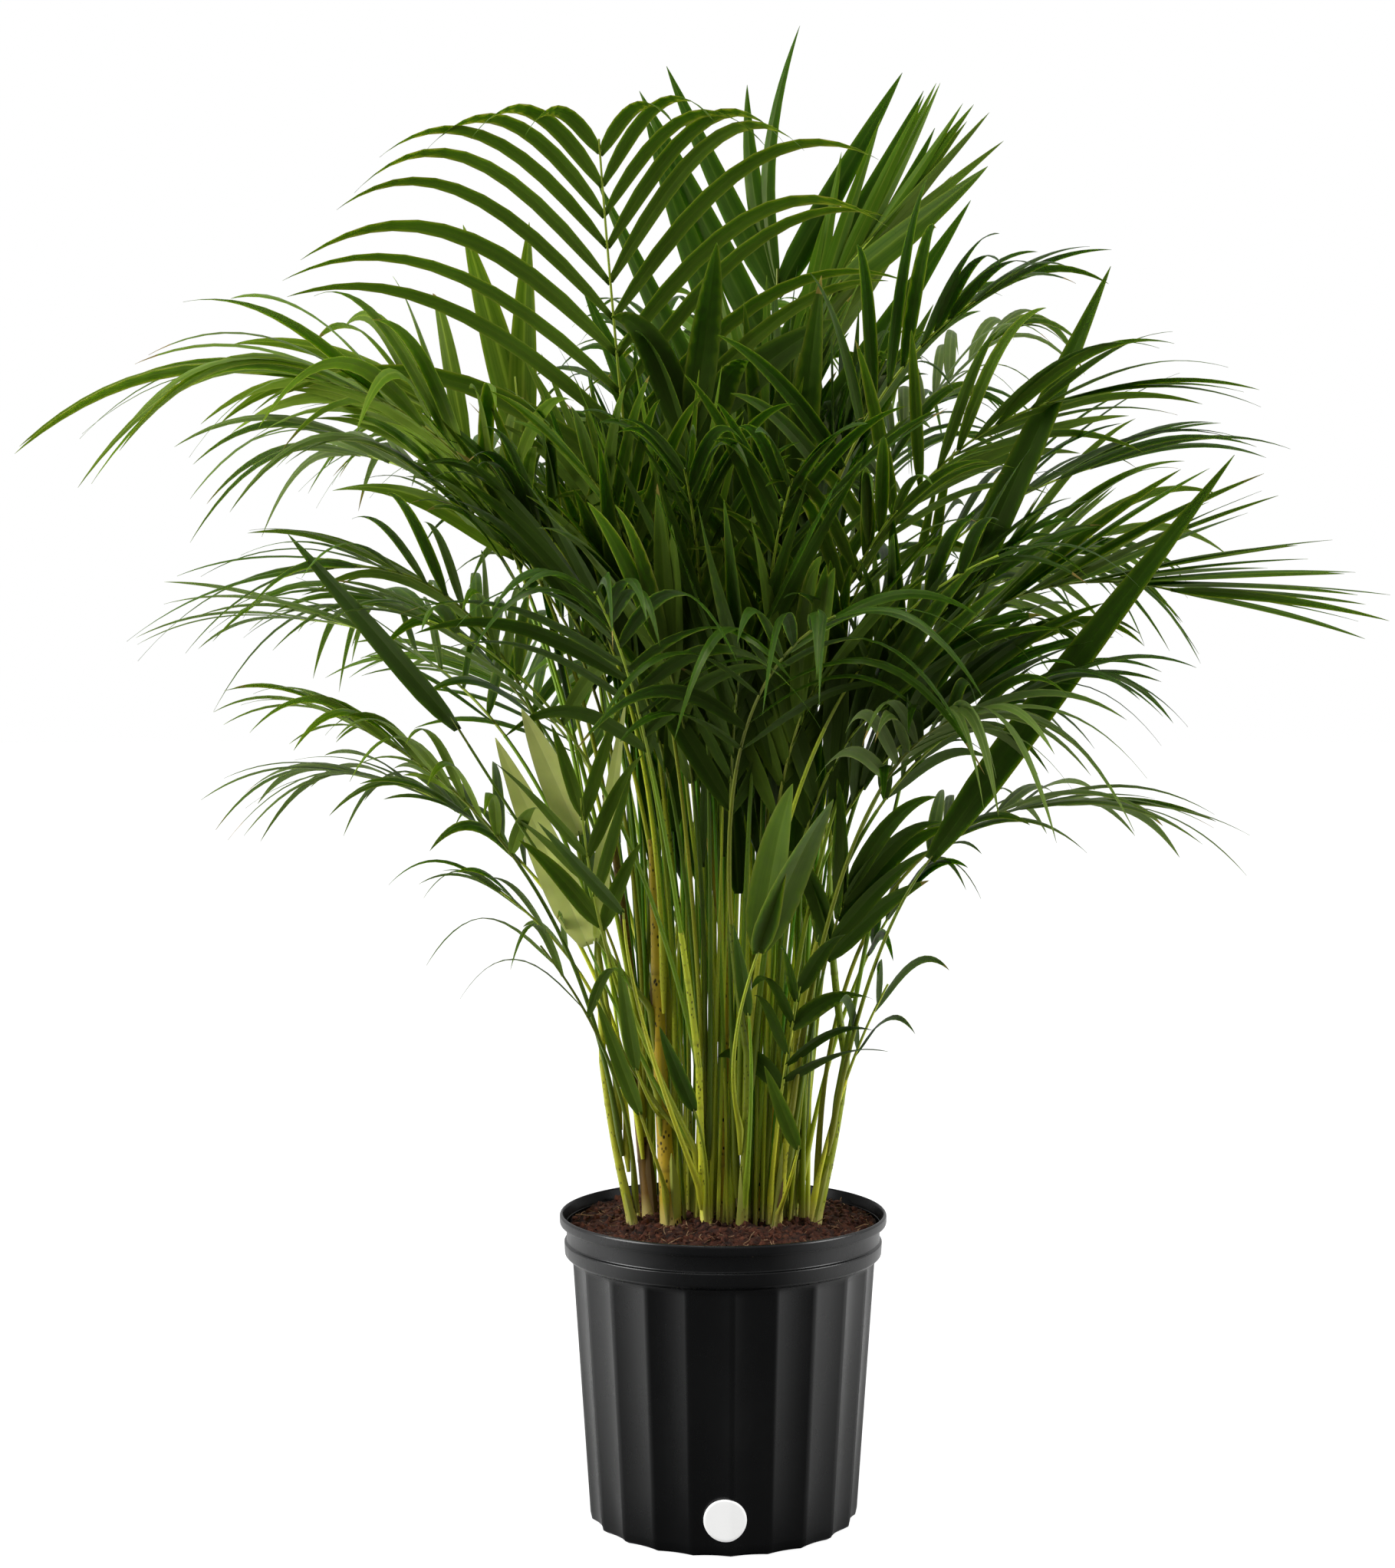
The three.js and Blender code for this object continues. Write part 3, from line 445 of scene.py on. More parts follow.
# %% Fronds
FRONDS = [
    # name, kind, tint, cane, start, tip, bend, pairs, bare share, longest leaflet, own sizes
    ("crown_front", "arch", "mid", 4, 1, (-130, 130, 965), (-179, 70, 735), 8, 0.53, 305,
     dict(facing=-92, width=13.5, open=(46, 30), fold=8, sag=0.72, curl=1.0, low=1, high=0.22, taper=1.8,
          shade=1, chaos=0.25)),
    ("crown_back", "fan", "dark", 12, 1, (63, 88, 908), (60, 80, 735), 4, 0.3, 278,
     dict(facing=-90, width=26.5, open=(34, 28), other=(24, 27), fold=8, sag=-0.1, low=1, high=0.62,
          taper=1, shade=2, chaos=0.06)),
    ("crown_right", "fan", "mid", 8, 1, (32, 130, 930), (99, 45, 800), 6, 0.62, 180,
     dict(facing=-80, width=13, open=(6, 2), other=(20, 8), fold=20, sag=0, shade=2, chaos=0.5)),
    ("broad_right", "young", "mid", 10, 1, (13, 87, 890), (48, 25, 815), 1, 0.92, 138,
     dict(facing=-90, width=29, open=(-19, -19), sag=0, single=True, shade=0, chaos=0.2)),
    ("arc_right", "arch", "dark", 8, 0.7, (-33, 200, 855), (-17, 25, 770), 8, 0.56, 198,
     dict(open=(58, 12), fold=30, sag=0.55)),
    ("arc_right_back", "arch", "grey", 14, 1, (36, 255, 865), (65, 60, 705), 8, 0.56, 190, dict(fold=25)),
    ("reach_right", "side", "mid", 10, 0.7, (-27, 255, 790), (-42, 45, 745), 8, 0.5, 182,
     dict(facing=-60, width=11)),
    ("reach_right_low", "side", "dark", 11, 1, (10, 280, 760), (36, 35, 690), 8, 0.5, 200, dict()),
    ("blade_right", "young", "dark", 11, 0.8, (-21, 168, 643), (-19, 133, 570), 1, 0.95, 262,
     dict(facing=-90, width=30, open=(-2, -2), sag=-0.05, single=True, chaos=0.2)),
    ("blade_right_low", "young", "dark", 11, 0.6, (-29, 164, 482), (-33, 120, 428), 1, 0.95, 330,
     dict(facing=-90, open=(3, 3), sag=-0.06, single=True, width=28, chaos=0.2)),
    ("far_right", "side", "mid", 10, 0.45, (-5, 320, 665), (5, 80, 725), 12, 0.5, 190,
     dict(sag=0.12, swing=60, width=12)),
    ("mid_right", "side", "mid", 14, 0.7, (27, 325, 715), (35, 65, 670), 8, 0.5, 190, dict(facing=-50)),
    ("low_right", "side", "dark", 9, 1, (-33, 255, 600), (-32, 95, 555), 8, 0.5, 152, dict(sag=1.05)),
    ("droop_right", "low", "grey", 9, 0.7, (-47, 238, 580), (-41, 110, 565), 7, 0.6, 138, dict(sag=1.25)),
    ("hem_right", "low", "grey", 11, 0.4, (16, 295, 510), (2, 80, 530), 8, 0.55, 150, dict(sag=0.75)),
    ("small_right", "low", "dark", 10, 0.25, (8, 140, 455), (9, 90, 405), 3, 0.6, 120,
     dict(width=10, sag=1.2)),
    ("tiny_right", "low", "dark", 11, 0.2, (-14, 120, 388), (-8, 85, 325), 2, 0.5, 115,
     dict(width=12, sag=1.1)),
    ("far_left", "side", "light", 2, 1, (-158, 300, 805), (-172, 100, 785), 13, 0.45, 240,
     dict(fold=12, sag=0.95, width=13)),
    ("arch_left", "arch", "grey", 1, 1, (159, 305, 775), (173, 95, 750), 9, 0.5, 218, dict(sag=0.85)),
    ("reach_left", "side", "mid", 1, 0.75, (-150, 300, 675), (-170, 115, 705), 7, 0.5, 168,
     dict(sag=0.75, width=9.5)),
    ("thin_left", "side", "grey", 2, 0.7, (158, 350, 650), (177, 125, 640), 6, 0.5, 190,
     dict(width=8, sag=0.45)),
    ("blade_left", "young", "dark", 3, 0.8, (-143, 226, 578), (-155, 116, 440), 1, 0.93, 188,
     dict(facing=-100, width=27, open=(13, 13), sag=0.1, single=True, chaos=0.3)),
    ("light_left", "side", "light", 1, 0.6, (-158, 265, 570), (-158, 115, 495), 9, 0.55, 165,
     dict(sag=0.85)),
    ("grey_left", "side", "grey", 2, 0.45, (172, 280, 535), (-165, 105, 515), 9, 0.5, 150, dict(sag=0.95)),
    ("small_left", "low", "mid", 1, 0.5, (-163, 170, 460), (-172, 70, 390), 3, 0.6, 108,
     dict(swing=-30, shift=6, width=9, open=(46, 16), sag=0.9)),
    ("low_left", "low", "mid", 1, 0.25, (-155, 140, 418), (-168, 75, 335), 2, 0.6, 140,
     dict(shift=12, width=9, open=(48, 12), sag=1.1)),
    ("upper_left", "fan", "light", 2, 0.85, (173, 235, 820), (173, 130, 740), 6, 0.5, 190,
     dict(facing=-80, width=17, open=(32, 10), fold=18, sag=0.75, swing=80, shift=12, shade=0)),
    ("upright_left", "fan", "light", 12, 0.75, (150, 180, 830), (152, 158, 650), 1, 0.7, 178,
     dict(facing=-90, width=28, open=(7, 7), fold=10, sag=-0.02, shade=0, chaos=0.2)),
    ("front_low", "arch", "dark", 5, 1, (-107, 270, 655), (-117, 105, 595), 6, 0.5, 175,
     dict(fold=20, sag=0.95)),
    ("front_right", "arch", "dark", 7, 1, (-76, 280, 640), (-106, 90, 595), 6, 0.5, 175,
     dict(fold=20, sag=1.1)),
    ("spikes", "fan", "bright", 6, 0.8, (-104, 125, 665), (-135, 50, 560), 3, 0.7, 190,
     dict(facing=-90, width=8, open=(24, 6), sag=0.1, shade=0)),
    ("pale_left", "young", "pale", 5, 0.5, (-148, 112, 421), (-142, 82, 346), 1, 0.96, 165,
     dict(facing=-90, width=36, open=(2, 2), sag=0.05, single=True, chaos=0.2)),
    ("bifid_front", "young", "mid", 7, 0.6, (-79, 132, 426), (-92, 66, 345), 1, 0.93, 172,
     dict(facing=-90, width=35, open=(12, 12), other=(1, 1), sag=0.3, shade=2, chaos=0.3)),
    ("cluster_right", "young", "dark", 9, 0.45, (-34, 105, 460), (-30, 75, 395), 4, 0.6, 125,
     dict(facing=-100, width=17, open=(34, 12), sag=0.6)),
    ("small_front", "low", "dark", 9, 0.2, (-48, 80, 390), (-38, 50, 315), 3, 0.4, 85,
     dict(facing=-100, width=16, sag=1.0)),
    ("broad_centre", "young", "dark", 6, 1, (-109, 65, 775), (-169, 30, 595), 2, 0.9, 175,
     dict(facing=-90, width=28, open=(26, 10), sag=0.7)),
    ("upright_right", "young", "dark", 8, 0.85, (-31, 60, 735), (23, 30, 635), 1, 0.95, 150,
     dict(facing=-90, width=24, open=(4, 4), sag=0, single=True)),
    ("back_left", "arch", "mid", 12, 0.5, (127, 415, 815), (120, 150, 730), 10, 0.5, 210, dict()),
    ("back_centre", "arch", "dark", 13, 1, (100, 305, 900), (112, 105, 675), 10, 0.5, 210, dict()),
    ("back_right", "arch", "dark", 14, 0.45, (63, 370, 840), (76, 135, 725), 10, 0.5, 210, dict()),
    ("back_low_left", "side", "mid", 13, 0.7, (122, 390, 620), (130, 165, 585), 9, 0.5, 190, dict()),
    ("back_low", "arch", "mid", 13, 0.45, (94, 380, 660), (103, 190, 635), 9, 0.5, 190, dict()),
    ("back_low_right", "side", "dark", 14, 0.25, (61, 380, 620), (70, 145, 635), 9, 0.5, 190, dict()),
    ("pale_upright", "young", "pale", 5, 0.5, (-148, 104, 423), (-153, 109, 359), 1, 0.96, 175,
     dict(host="pale_left", facing=-90, width=17, open=(2, 2), sag=0, single=True, chaos=0.2)),
    ("crown_tip", "young", "dark", 12, 1, (63, 88, 908), (60, 80, 735), 1, 0.93, 182,
     dict(host="crown_back", facing=-90, width=17, open=(14, 14), sag=0.05, bow=0.35, single=True, shade=2,
          chaos=0.2)),
    ("crown_spike", "young", "dark", 12, 1, (63, 88, 908), (60, 80, 735), 1, 0.9, 156,
     dict(host="crown_back", facing=-90, width=19, open=(19, 19), sag=0, bow=0.17, single=True, shade=2,
          chaos=0.2)),
    ("deep_left", "arch", "mid", 12, 0.5, (150, 330, 660), (150, 130, 660), 8, 0.5, 190,
     dict(host="back_left")),
    ("deep_right", "arch", "dark", 14, 0.45, (38, 350, 690), (60, 150, 690), 8, 0.5, 190,
     dict(host="back_right")),
    ("high_back", "arch", "mid", 13, 1, (88, 190, 885), (110, 40, 740), 8, 0.55, 190,
     dict(host="back_centre")),
    ("front_left", "arch", "mid", 5, 1, (-137, 260, 640), (-150, 90, 600), 3, 0.5, 170,
     dict(host="front_low", sag=0.7)),
    ("front_corner", "arch", "dark", 7, 1, (-50, 270, 680), (-62, 90, 630), 3, 0.5, 170,
     dict(host="front_right", sag=0.7)),
]
print(len(CANES), "canes and", len(FRONDS), "fronds")


# %% [markdown]
# ## The rule of a frond
#
# A frond rises from its cane on one smooth bend, which a quadratic curve gives with three points: foot,
# bend and tip. The lower part of the rib is bare, the petiole. Past it the leaflets stand in pairs. They
# open wide at first and close towards the tip, are longest a third of the way along, and sag under their
# own weight. Small repeatable departures in angle, length and sag keep any two from being alike. They
# grow with the row's chaos, which is 1 on an arching frond and small on a stiff young one.

# %% Places on a cane and a rib
UP = np.array([0.0, 0.0, 1.0])
RIB_RADII = (2.6, 1.8, 1.2)
STEM_SLIMNESS = 0.72


def lerp(low, high, share):
    return low + (high - low) * share


def unit(vectors):
    return vectors / np.maximum(np.linalg.norm(vectors, axis=-1, keepdims=True), 1e-9)


def polar(heading, reach, height):
    angle = math.radians(heading)
    return np.array([reach * math.cos(angle), reach * math.sin(angle), height])


def chance(i, j):
    """A repeatable number from -1 to 1 for a pair of whole numbers."""
    value = math.sin(i * 12.9898 + j * 78.233) * 43758.5453
    return 2 * (value - math.floor(value)) - 1


def cane_point(cane, share):
    low = np.array([cane[0], cane[1], SOIL_HEIGHT + GAP])
    return lerp(low, np.array([cane[2], cane[3], cane[4]], float), share)


def cane_radius(cane, share):
    return lerp(cane[5], cane[6], share) * lerp(FOOT_FLARE, 1, min(1, share * CANE_STEPS))


def turned(vector, angle):
    cosine = math.cos(math.radians(angle))
    sine = math.sin(math.radians(angle))
    x, y, z = vector
    return np.array([cosine * x - sine * y, sine * x + cosine * y, z])


def on_curve(ends, share):
    foot, bend, tip = ends
    share = np.asarray(share)[..., None]
    return (1 - share) ** 2 * foot + 2 * share * (1 - share) * bend + share**2 * tip


def along_curve(ends, share):
    foot, bend, tip = ends
    share = np.asarray(share)[..., None]
    return unit((1 - share) * (bend - foot) + share * (tip - bend))


# %% Reading a row
def read_frond(row, order):
    name, kind, tint, cane_number, start, tip, bend, pairs, bare, blade, own = row
    frond = dict(PLAIN, **KINDS[kind])
    frond.update(own, name=name, tint=tint, order=order, start=start, pairs=pairs, bare=bare, blade=blade)
    cane = CANES[cane_number - 1]
    tip = polar(*tip)
    bend = polar(*bend)
    frond.setdefault("facing", math.degrees(math.atan2(tip[1] - bend[1], tip[0] - bend[0])))
    foot = cane_point(cane, start)
    if start == 1:
        foot = foot + UP * GAP
        away = np.zeros(3)
    else:
        lean = cane_point(cane, 1) - cane_point(cane, 0)
        rise = bend - foot
        away = rise / rise[2] - lean / lean[2]
        away = turned(unit(away * (1, 1, 0)), frond["swing"])
        foot = foot + away * (cane_radius(cane, start) + RIB_RADII[0] + GAP)
    run = unit((tip - foot) * (1, 1, 0))
    bend = bend + np.array([-run[1], run[0], 0]) * frond["shift"]
    frond.update(cane=cane, away=away, ends=(foot, bend, tip))
    return frond


fronds = [read_frond(row, order) for order, row in enumerate(FRONDS)]
by_name = {frond["name"]: frond for frond in fronds}
for frond in fronds:
    if frond["host"]:
        frond["ends"] = (by_name[frond["host"]]["ends"][0], *frond["ends"][1:])
print("highest tip:", max(frond["ends"][2][2] for frond in fronds), "mm")


# %% [markdown]
# Between the fronds that reach the outline the real crown is crowded with shorter ones. They follow the
# same rule from the same canes, turned round the clump by the golden angle, which spreads any number of
# them evenly. The golden ratio's two shares do the same for their heights and reaches. Every second one
# stands upright and the others arch. A few young blades, most of them single and low in front of the
# canes, get rows of their own, because each one shows.

# %% Inner fronds
INNER_FRONDS = 34
INNER_ORDER = 60
LOW_ORDER = 100
GOLDEN_ANGLE = 137.508
GOLDEN_SHARES = (0.618, 0.382)


def inner_row(k):
    heading = (k * GOLDEN_ANGLE) % 360
    share = (k + 0.5) / INNER_FRONDS
    upright = k % 2 == 0
    front = -polar(heading, 1, 0)[1]
    low = 560 if upright else 600 + 110 * max(0, front)
    height = lerp(low, 780 if upright else 810, (k * GOLDEN_SHARES[0]) % 1)
    reaches = (40, 170) if upright else (110, 225)
    reach = lerp(*reaches, (k * GOLDEN_SHARES[1]) % 1)
    towards = polar(heading, 60, 0)
    nearest = min(range(len(CANES)),
                  key=lambda c: np.hypot(CANES[c][2] - towards[0], CANES[c][3] - towards[1]))
    bend = (heading + 8 * chance(k, 5), 0.36 * reach, 0.9 * height)
    tint = ("dark", "mid", "dark", "dark", "mid", "dark")[k % 6]
    if upright:
        kind, pairs, blade = "fan", 6, 215
        own = dict(sag=0.35 + 0.25 * chance(k, 6), fold=30, open=(32, 12), width=17)
    else:
        kind, pairs, blade = "arch", 7, 170
        own = dict(sag=0.6 + 0.3 * chance(k, 6), fold=30, open=(50, 18), width=11.5)
    return (f"inner_{k}", kind, tint, nearest + 1, lerp(0.3, 0.95, share), (heading, reach, height), bend,
            pairs, 0.52, blade, own)


LOW_BLADE = dict(facing=-90, open=(2, 2), sag=0.1, single=True, chaos=0.3)
LOW_BLADES = [
    # the same columns as a frond
    ("blade_a", "young", "dark", 5, 0.15, (-105, 78, 307), (-99, 61, 275), 1, 0.95, 80, dict(width=14)),
    ("blade_b", "young", "dark", 7, 0.3, (-76, 72, 373), (-66, 55, 327), 1, 0.95, 76, dict(width=13)),
    ("blade_c", "young", "mid", 3, 0.15, (-146, 71, 299), (-146, 53, 253), 1, 0.95, 95, dict(width=15)),
    ("blade_d", "young", "mid", 9, 0.1, (-53, 88, 281), (-50, 70, 245), 1, 0.9, 75,
     dict(width=15, open=(32, 32))),
    ("blade_e", "young", "dark", 2, 0.55, (-158, 96, 442), (-155, 68, 387), 1, 0.95, 85,
     dict(width=22, open=(-20, -20))),
    ("blade_f", "young", "mid", 3, 0.4, (-133, 89, 334), (-136, 65, 290), 1, 0.95, 105,
     dict(width=16, open=(-12, -12))),
    ("blade_g", "young", "dark", 5, 0.3, (-119, 138, 449), (-126, 112, 380), 1, 0.95, 85,
     dict(width=18, open=(45, 45))),
    ("broad_high", "young", "dark", 6, 1, (-120, 30, 790), (-150, 35, 700), 1, 0.95, 130,
     dict(width=36, open=(-38, -38), sag=0.2)),
    ("pale_low", "young", "pale", 5, 0.5, (-136, 136, 500), (-143, 118, 430), 1, 0.95, 105,
     dict(width=30, open=(18, 18))),
    ("young_left", "young", "mid", 3, 0.5, (-131, 146, 523), (-140, 118, 420), 3, 0.45, 95,
     dict(width=13, open=(42, 14), single=False, sag=0.3, chaos=1)),
]

inner = [read_frond(inner_row(k), INNER_ORDER + k) for k in range(INNER_FRONDS)]
for order, row in enumerate(LOW_BLADES):
    inner.append(read_frond((*row[:-1], {**LOW_BLADE, **row[-1]}), LOW_ORDER + order))
print(len(inner), "inner fronds and low blades")


# %% [markdown]
# ## Leaflets
#
# A leaflet is a thin blade with a long drawn-out tip, creased along its midrib so that its two halves
# fall away like a roof. It is built here as a closed strip: six points in each section, fifteen sections
# from root to tip. Its middle line leaves the rib straight and falls mostly in its thin outer part, as
# the real one does. A little twist and a sideways bow make each catch the light differently. The upper
# side has the glossy green, the underside a duller and greyer one. Towards the tip of a frond the
# leaflets stand closer.

# %% The size and stance of each leaflet
PAIRS_ON_PLANT = 1.25
CLOSER_AT_TIP = 0.85
LONGEST_AT = 0.35
NARROWER_AT_TIP = 0.25
SHADES = 3
# the most that a leaflet strays: shares of its spacing and sizes, degrees, and radians for twist and turn
STRAY = dict(place=0.3, opening=9, fold=8, length=0.13, width=0.12, sag=0.4, twist=0.55, turn=0.6, bow=0.05)
DRY_ABOVE = 0.8


def leaflet_shade(frond, seed):
    if frond["shade"] is not None:
        return frond["shade"]
    return int((chance(frond["order"], 12) * 0.6 + chance(seed, 10) * 0.4 + 1) / 2 * SHADES)


def leaflet_size(frond, along):
    """Its length as a share of the longest."""
    if along < LONGEST_AT:
        return lerp(frond["low"], 1, along / LONGEST_AT)
    past = (along - LONGEST_AT) / (1 - LONGEST_AT)
    return 1 - (1 - frond["high"]) * past ** frond["taper"]


def leaflet_rows(frond):
    """One row for each leaflet: numbers that the blade arrays are made from."""
    single = frond["single"]
    chaos = frond["chaos"]
    pairs = 1 if single else max(1, round(frond["pairs"] * PAIRS_ON_PLANT))
    sides = (1,) if single else (-1, 1)
    facing = math.radians(frond["facing"])
    rows = []
    for pair in range(pairs):
        for side in sides:
            seed = frond["order"] * 61 + pair * 2 + (side > 0)
            along = (pair + 0.5 + (0 if single else STRAY["place"] * chaos * chance(seed, 9))) / pairs
            share = lerp(frond["bare"], 1, along**CLOSER_AT_TIP)
            tangent = along_curve(frond["ends"], share)
            across = np.array([math.sin(facing), -math.cos(facing), 0])
            across = unit(across - tangent * np.dot(across, tangent))
            normal = np.cross(across, tangent)
            wide_to_narrow = frond["open"] if side > 0 or not frond["other"] else frond["other"]
            stray = STRAY["opening"] * chaos * chance(seed, 1)
            opening = math.radians(lerp(*wide_to_narrow, along) + stray)
            fold = math.radians(frond["fold"] + STRAY["fold"] * chance(seed, 2))
            direction = (tangent * math.cos(opening) + across * side * math.sin(opening) * math.cos(fold)
                         + normal * math.sin(opening) * math.sin(fold))
            edge = unit(tangent - direction * np.dot(tangent, direction))
            length = frond["blade"] * leaflet_size(frond, along)
            width = frond["width"] * (1 - NARROWER_AT_TIP * along)
            sag = frond["sag"] * (1 + frond["curl"] * along)
            rows.append(dict(
                root=on_curve(frond["ends"], share), direction=direction, edge=edge, side=side, out=UP,
                length=length * (1 + STRAY["length"] * chaos * chance(seed, 3)),
                width=width * (1 + STRAY["width"] * chance(seed, 8)),
                sag=sag * (1 + STRAY["sag"] * chaos * chance(seed, 4)),
                twist=STRAY["twist"] * chaos * chance(seed, 5),
                turn=STRAY["turn"] * chaos * chance(seed, 6),
                bow=STRAY["bow"] * chance(seed, 7) if frond["bow"] is None else frond["bow"],
                shade=leaflet_shade(frond, seed),
                dry=chance(seed, 11) > DRY_ABOVE and chaos > 0.6))
    return rows


# %% Blades from arrays
STATIONS = np.array([0, 0.03, 0.09, 0.18, 0.28, 0.38, 0.47, 0.56, 0.64, 0.72, 0.79, 0.86, 0.92, 0.97, 1.0])
# one section: shares of the half width, of the drop from the midrib and of the thickness
SECTION = [(-1.0, -1.0, 0.0), (-0.5, -0.34, 0.0), (0.0, 0.0, 0.0), (0.5, -0.34, 0.0), (1.0, -1.0, 0.0),
           (0.0, 0.0, -1.0)]
CORNERS = len(SECTION)
print("points in a leaflet:", CORNERS * len(STATIONS))
SAG_POWER = 2.5
FLAT_ABOVE = 14.0


def blade_width(share):
    """How full the blade is: narrow at the root, widest at a third, drawn out at the tip."""
    full = np.clip(2.1 * (share + 0.06) ** 0.45 * (1 - share) ** 0.8, 0.02, 1) * (1 - 0.2 * share)
    return full * lerp(0.55, 1, np.clip(share / 0.12, 0, 1))


def blade_points(rows, thickness=0.55, crease=0.4):
    """The points of all blades, as leaflet by section by point, in millimetres."""
    pick = {key: np.array([row[key] for row in rows]) for key in rows[0]}
    share = STATIONS[None, :, None]
    length = pick["length"][:, None, None]
    direction = pick["direction"][:, None, :]
    edge = pick["edge"][:, None, :]
    sag = pick["sag"][:, None, None]
    bow = (pick["bow"] * pick["side"])[:, None, None]
    middle = (pick["root"][:, None, :] + length * share * direction
              + length * bow * share**2 * edge - 0.5 * sag * length * share**SAG_POWER * UP)
    along = unit(direction + 2 * bow * share * edge
                 - 0.5 * SAG_POWER * sag * share ** (SAG_POWER - 1) * UP)
    edge = unit(edge - along * np.sum(edge * along, -1, keepdims=True))
    up = np.cross(along, edge)
    up = up * np.where(np.sum(up * pick["out"][:, None, :], (1, 2), keepdims=True) < 0, -1, 1)
    angle = pick["turn"][:, None, None] + pick["twist"][:, None, None] * 2 * share
    edge, up = edge * np.cos(angle) + up * np.sin(angle), up * np.cos(angle) - edge * np.sin(angle)
    half = 0.5 * pick["width"][:, None, None] * blade_width(share)
    drop = crease * half / (1 + half / FLAT_ABOVE) * (1 - 0.5 * share)
    thin = thickness * lerp(1.0, 0.35, share) * np.ones_like(half)
    rings = [middle + edge * half * x + up * (drop * y + thin * z) for x, y, z in SECTION]
    return np.stack(rings, 2)


def blade_faces(count):
    """Quads along the strips and a six-sided cap at each end."""
    sections = len(STATIONS)
    start = np.arange(count)[:, None] * sections * CORNERS
    low = start[:, :, None] + np.arange(sections - 1)[None, :, None] * CORNERS
    corner = np.arange(CORNERS)
    after = (corner + 1) % CORNERS
    quads = np.stack([low + corner, low + after, low + CORNERS + after, low + CORNERS + corner], -1)
    first = start + corner[::-1]
    last = start + (sections - 1) * CORNERS + corner
    return quads.reshape(-1, 4), first, last


ACROSS = np.array([0.0, 0.25, 0.5, 0.75, 1.0, 0.5])
ACROSS_NEXT = np.array([0.25, 0.5, 0.75, 1.0, 0.5, 0.0])
UNDERSIDE = np.array([False, False, False, False, True, True])


def blade_uvs(count):
    low = np.broadcast_to(STATIONS[:-1, None], (len(STATIONS) - 1, CORNERS))
    high = np.broadcast_to(STATIONS[1:, None], (len(STATIONS) - 1, CORNERS))
    left = np.broadcast_to(ACROSS, low.shape)
    right = np.broadcast_to(ACROSS_NEXT, low.shape)
    one = np.stack([np.stack([left, low], -1), np.stack([right, low], -1),
                    np.stack([right, high], -1), np.stack([left, high], -1)], 2)
    quads = np.broadcast_to(one, (count, *one.shape)).reshape(-1, 4, 2)
    caps = np.stack([ACROSS, np.zeros(CORNERS)], -1)
    ends = np.broadcast_to(caps, (count, CORNERS, 2))
    return quads, ends, ends + np.array([0.0, 1.0])


def blade_materials(rows):
    """Upper side by shade, underside its own, and the last stretch of a dry-tipped leaflet brown."""
    sections = len(STATIONS) - 1
    shade = np.array([row["shade"] for row in rows])[:, None, None]
    dry = np.array([row["dry"] for row in rows])[:, None, None]
    number = np.broadcast_to(shade, (len(rows), sections, CORNERS)).copy()
    number[:, :, UNDERSIDE] = SHADES
    last = np.arange(sections)[None, :, None] >= sections - 2
    number = np.where(dry & last, SHADES + 1, number)
    caps = np.zeros(len(rows))
    return number.ravel(), caps, caps


def crease_edges(mesh):
    """Keeps the blade's edges, midrib and keel crisp under smooth shading."""
    ends = np.empty(len(mesh.edges) * 2, np.int32)
    mesh.edges.foreach_get("vertices", ends)
    corners = ends.reshape(-1, 2) % CORNERS
    crisp = (corners[:, 0] == corners[:, 1]) & np.isin(corners[:, 0], (0, 2, 4, 5))
    layer = mesh.attributes.new("sharp_edge", "BOOLEAN", "EDGE")
    layer.data.foreach_set("value", crisp)


def blades(name, rows, materials, **shape):
    points = blade_points(rows, **shape).reshape(-1, 3) * MM
    faces = outward(points, list(blade_faces(len(rows))))
    flipped = faces[0][0, 0] != 0
    uvs = [block[:, ::-1] if flipped else block for block in blade_uvs(len(rows))]
    piece = mesh_object(name, points, faces, materials, blade_materials(rows), uvs)
    crease_edges(piece.data)
    return piece


# %% [markdown]
# The greens are dealt out by frond and by leaflet: each tint has three shades, an underside and a dry
# brown tip. They are plain base colours, so nothing depends on where a picture would fall on a thousand
# blades. A leaf is thin and alive, so some light passes into it and comes out greener. A little
# subsurface light does that, and the stems share it. The highlights are tinted towards yellow-green, as
# on the real waxy leaf.

# %% Greens
TINTS = {
    # upper side, midrib, underside, gloss
    "mid": ((52, 84, 8), (112, 134, 36), (74, 98, 26), 0.36),
    "dark": ((32, 56, 6), (74, 98, 28), (50, 72, 18), 0.34),
    "grey": ((80, 102, 42), (134, 150, 82), (102, 122, 66), 0.44),
    "light": ((84, 116, 14), (150, 170, 52), (108, 136, 36), 0.4),
    "bright": ((64, 102, 10), (134, 158, 44), (86, 116, 28), 0.38),
    "pale": ((226, 238, 128), (238, 246, 160), (226, 238, 134), 0.45),
}
SHADE_STEPS = (0.72, 1.0, 1.34)
LEAF_SPECULAR = 0.22
LEAF_SHEEN = (0.8, 0.85, 0.35, 1.0)
DRY_BROWN = (134, 112, 58)
GLOW = 0.22
GLOW_REACH = (0.6, 1.0, 0.15)
GLOW_DEPTH = 0.002
print("tints:", ", ".join(TINTS))


def let_light_in(shader):
    """Lets some light through living tissue, more of the green than of the rest."""
    shader.inputs["Subsurface Weight"].default_value = GLOW
    shader.inputs["Subsurface Radius"].default_value = GLOW_REACH
    shader.inputs["Subsurface Scale"].default_value = GLOW_DEPTH


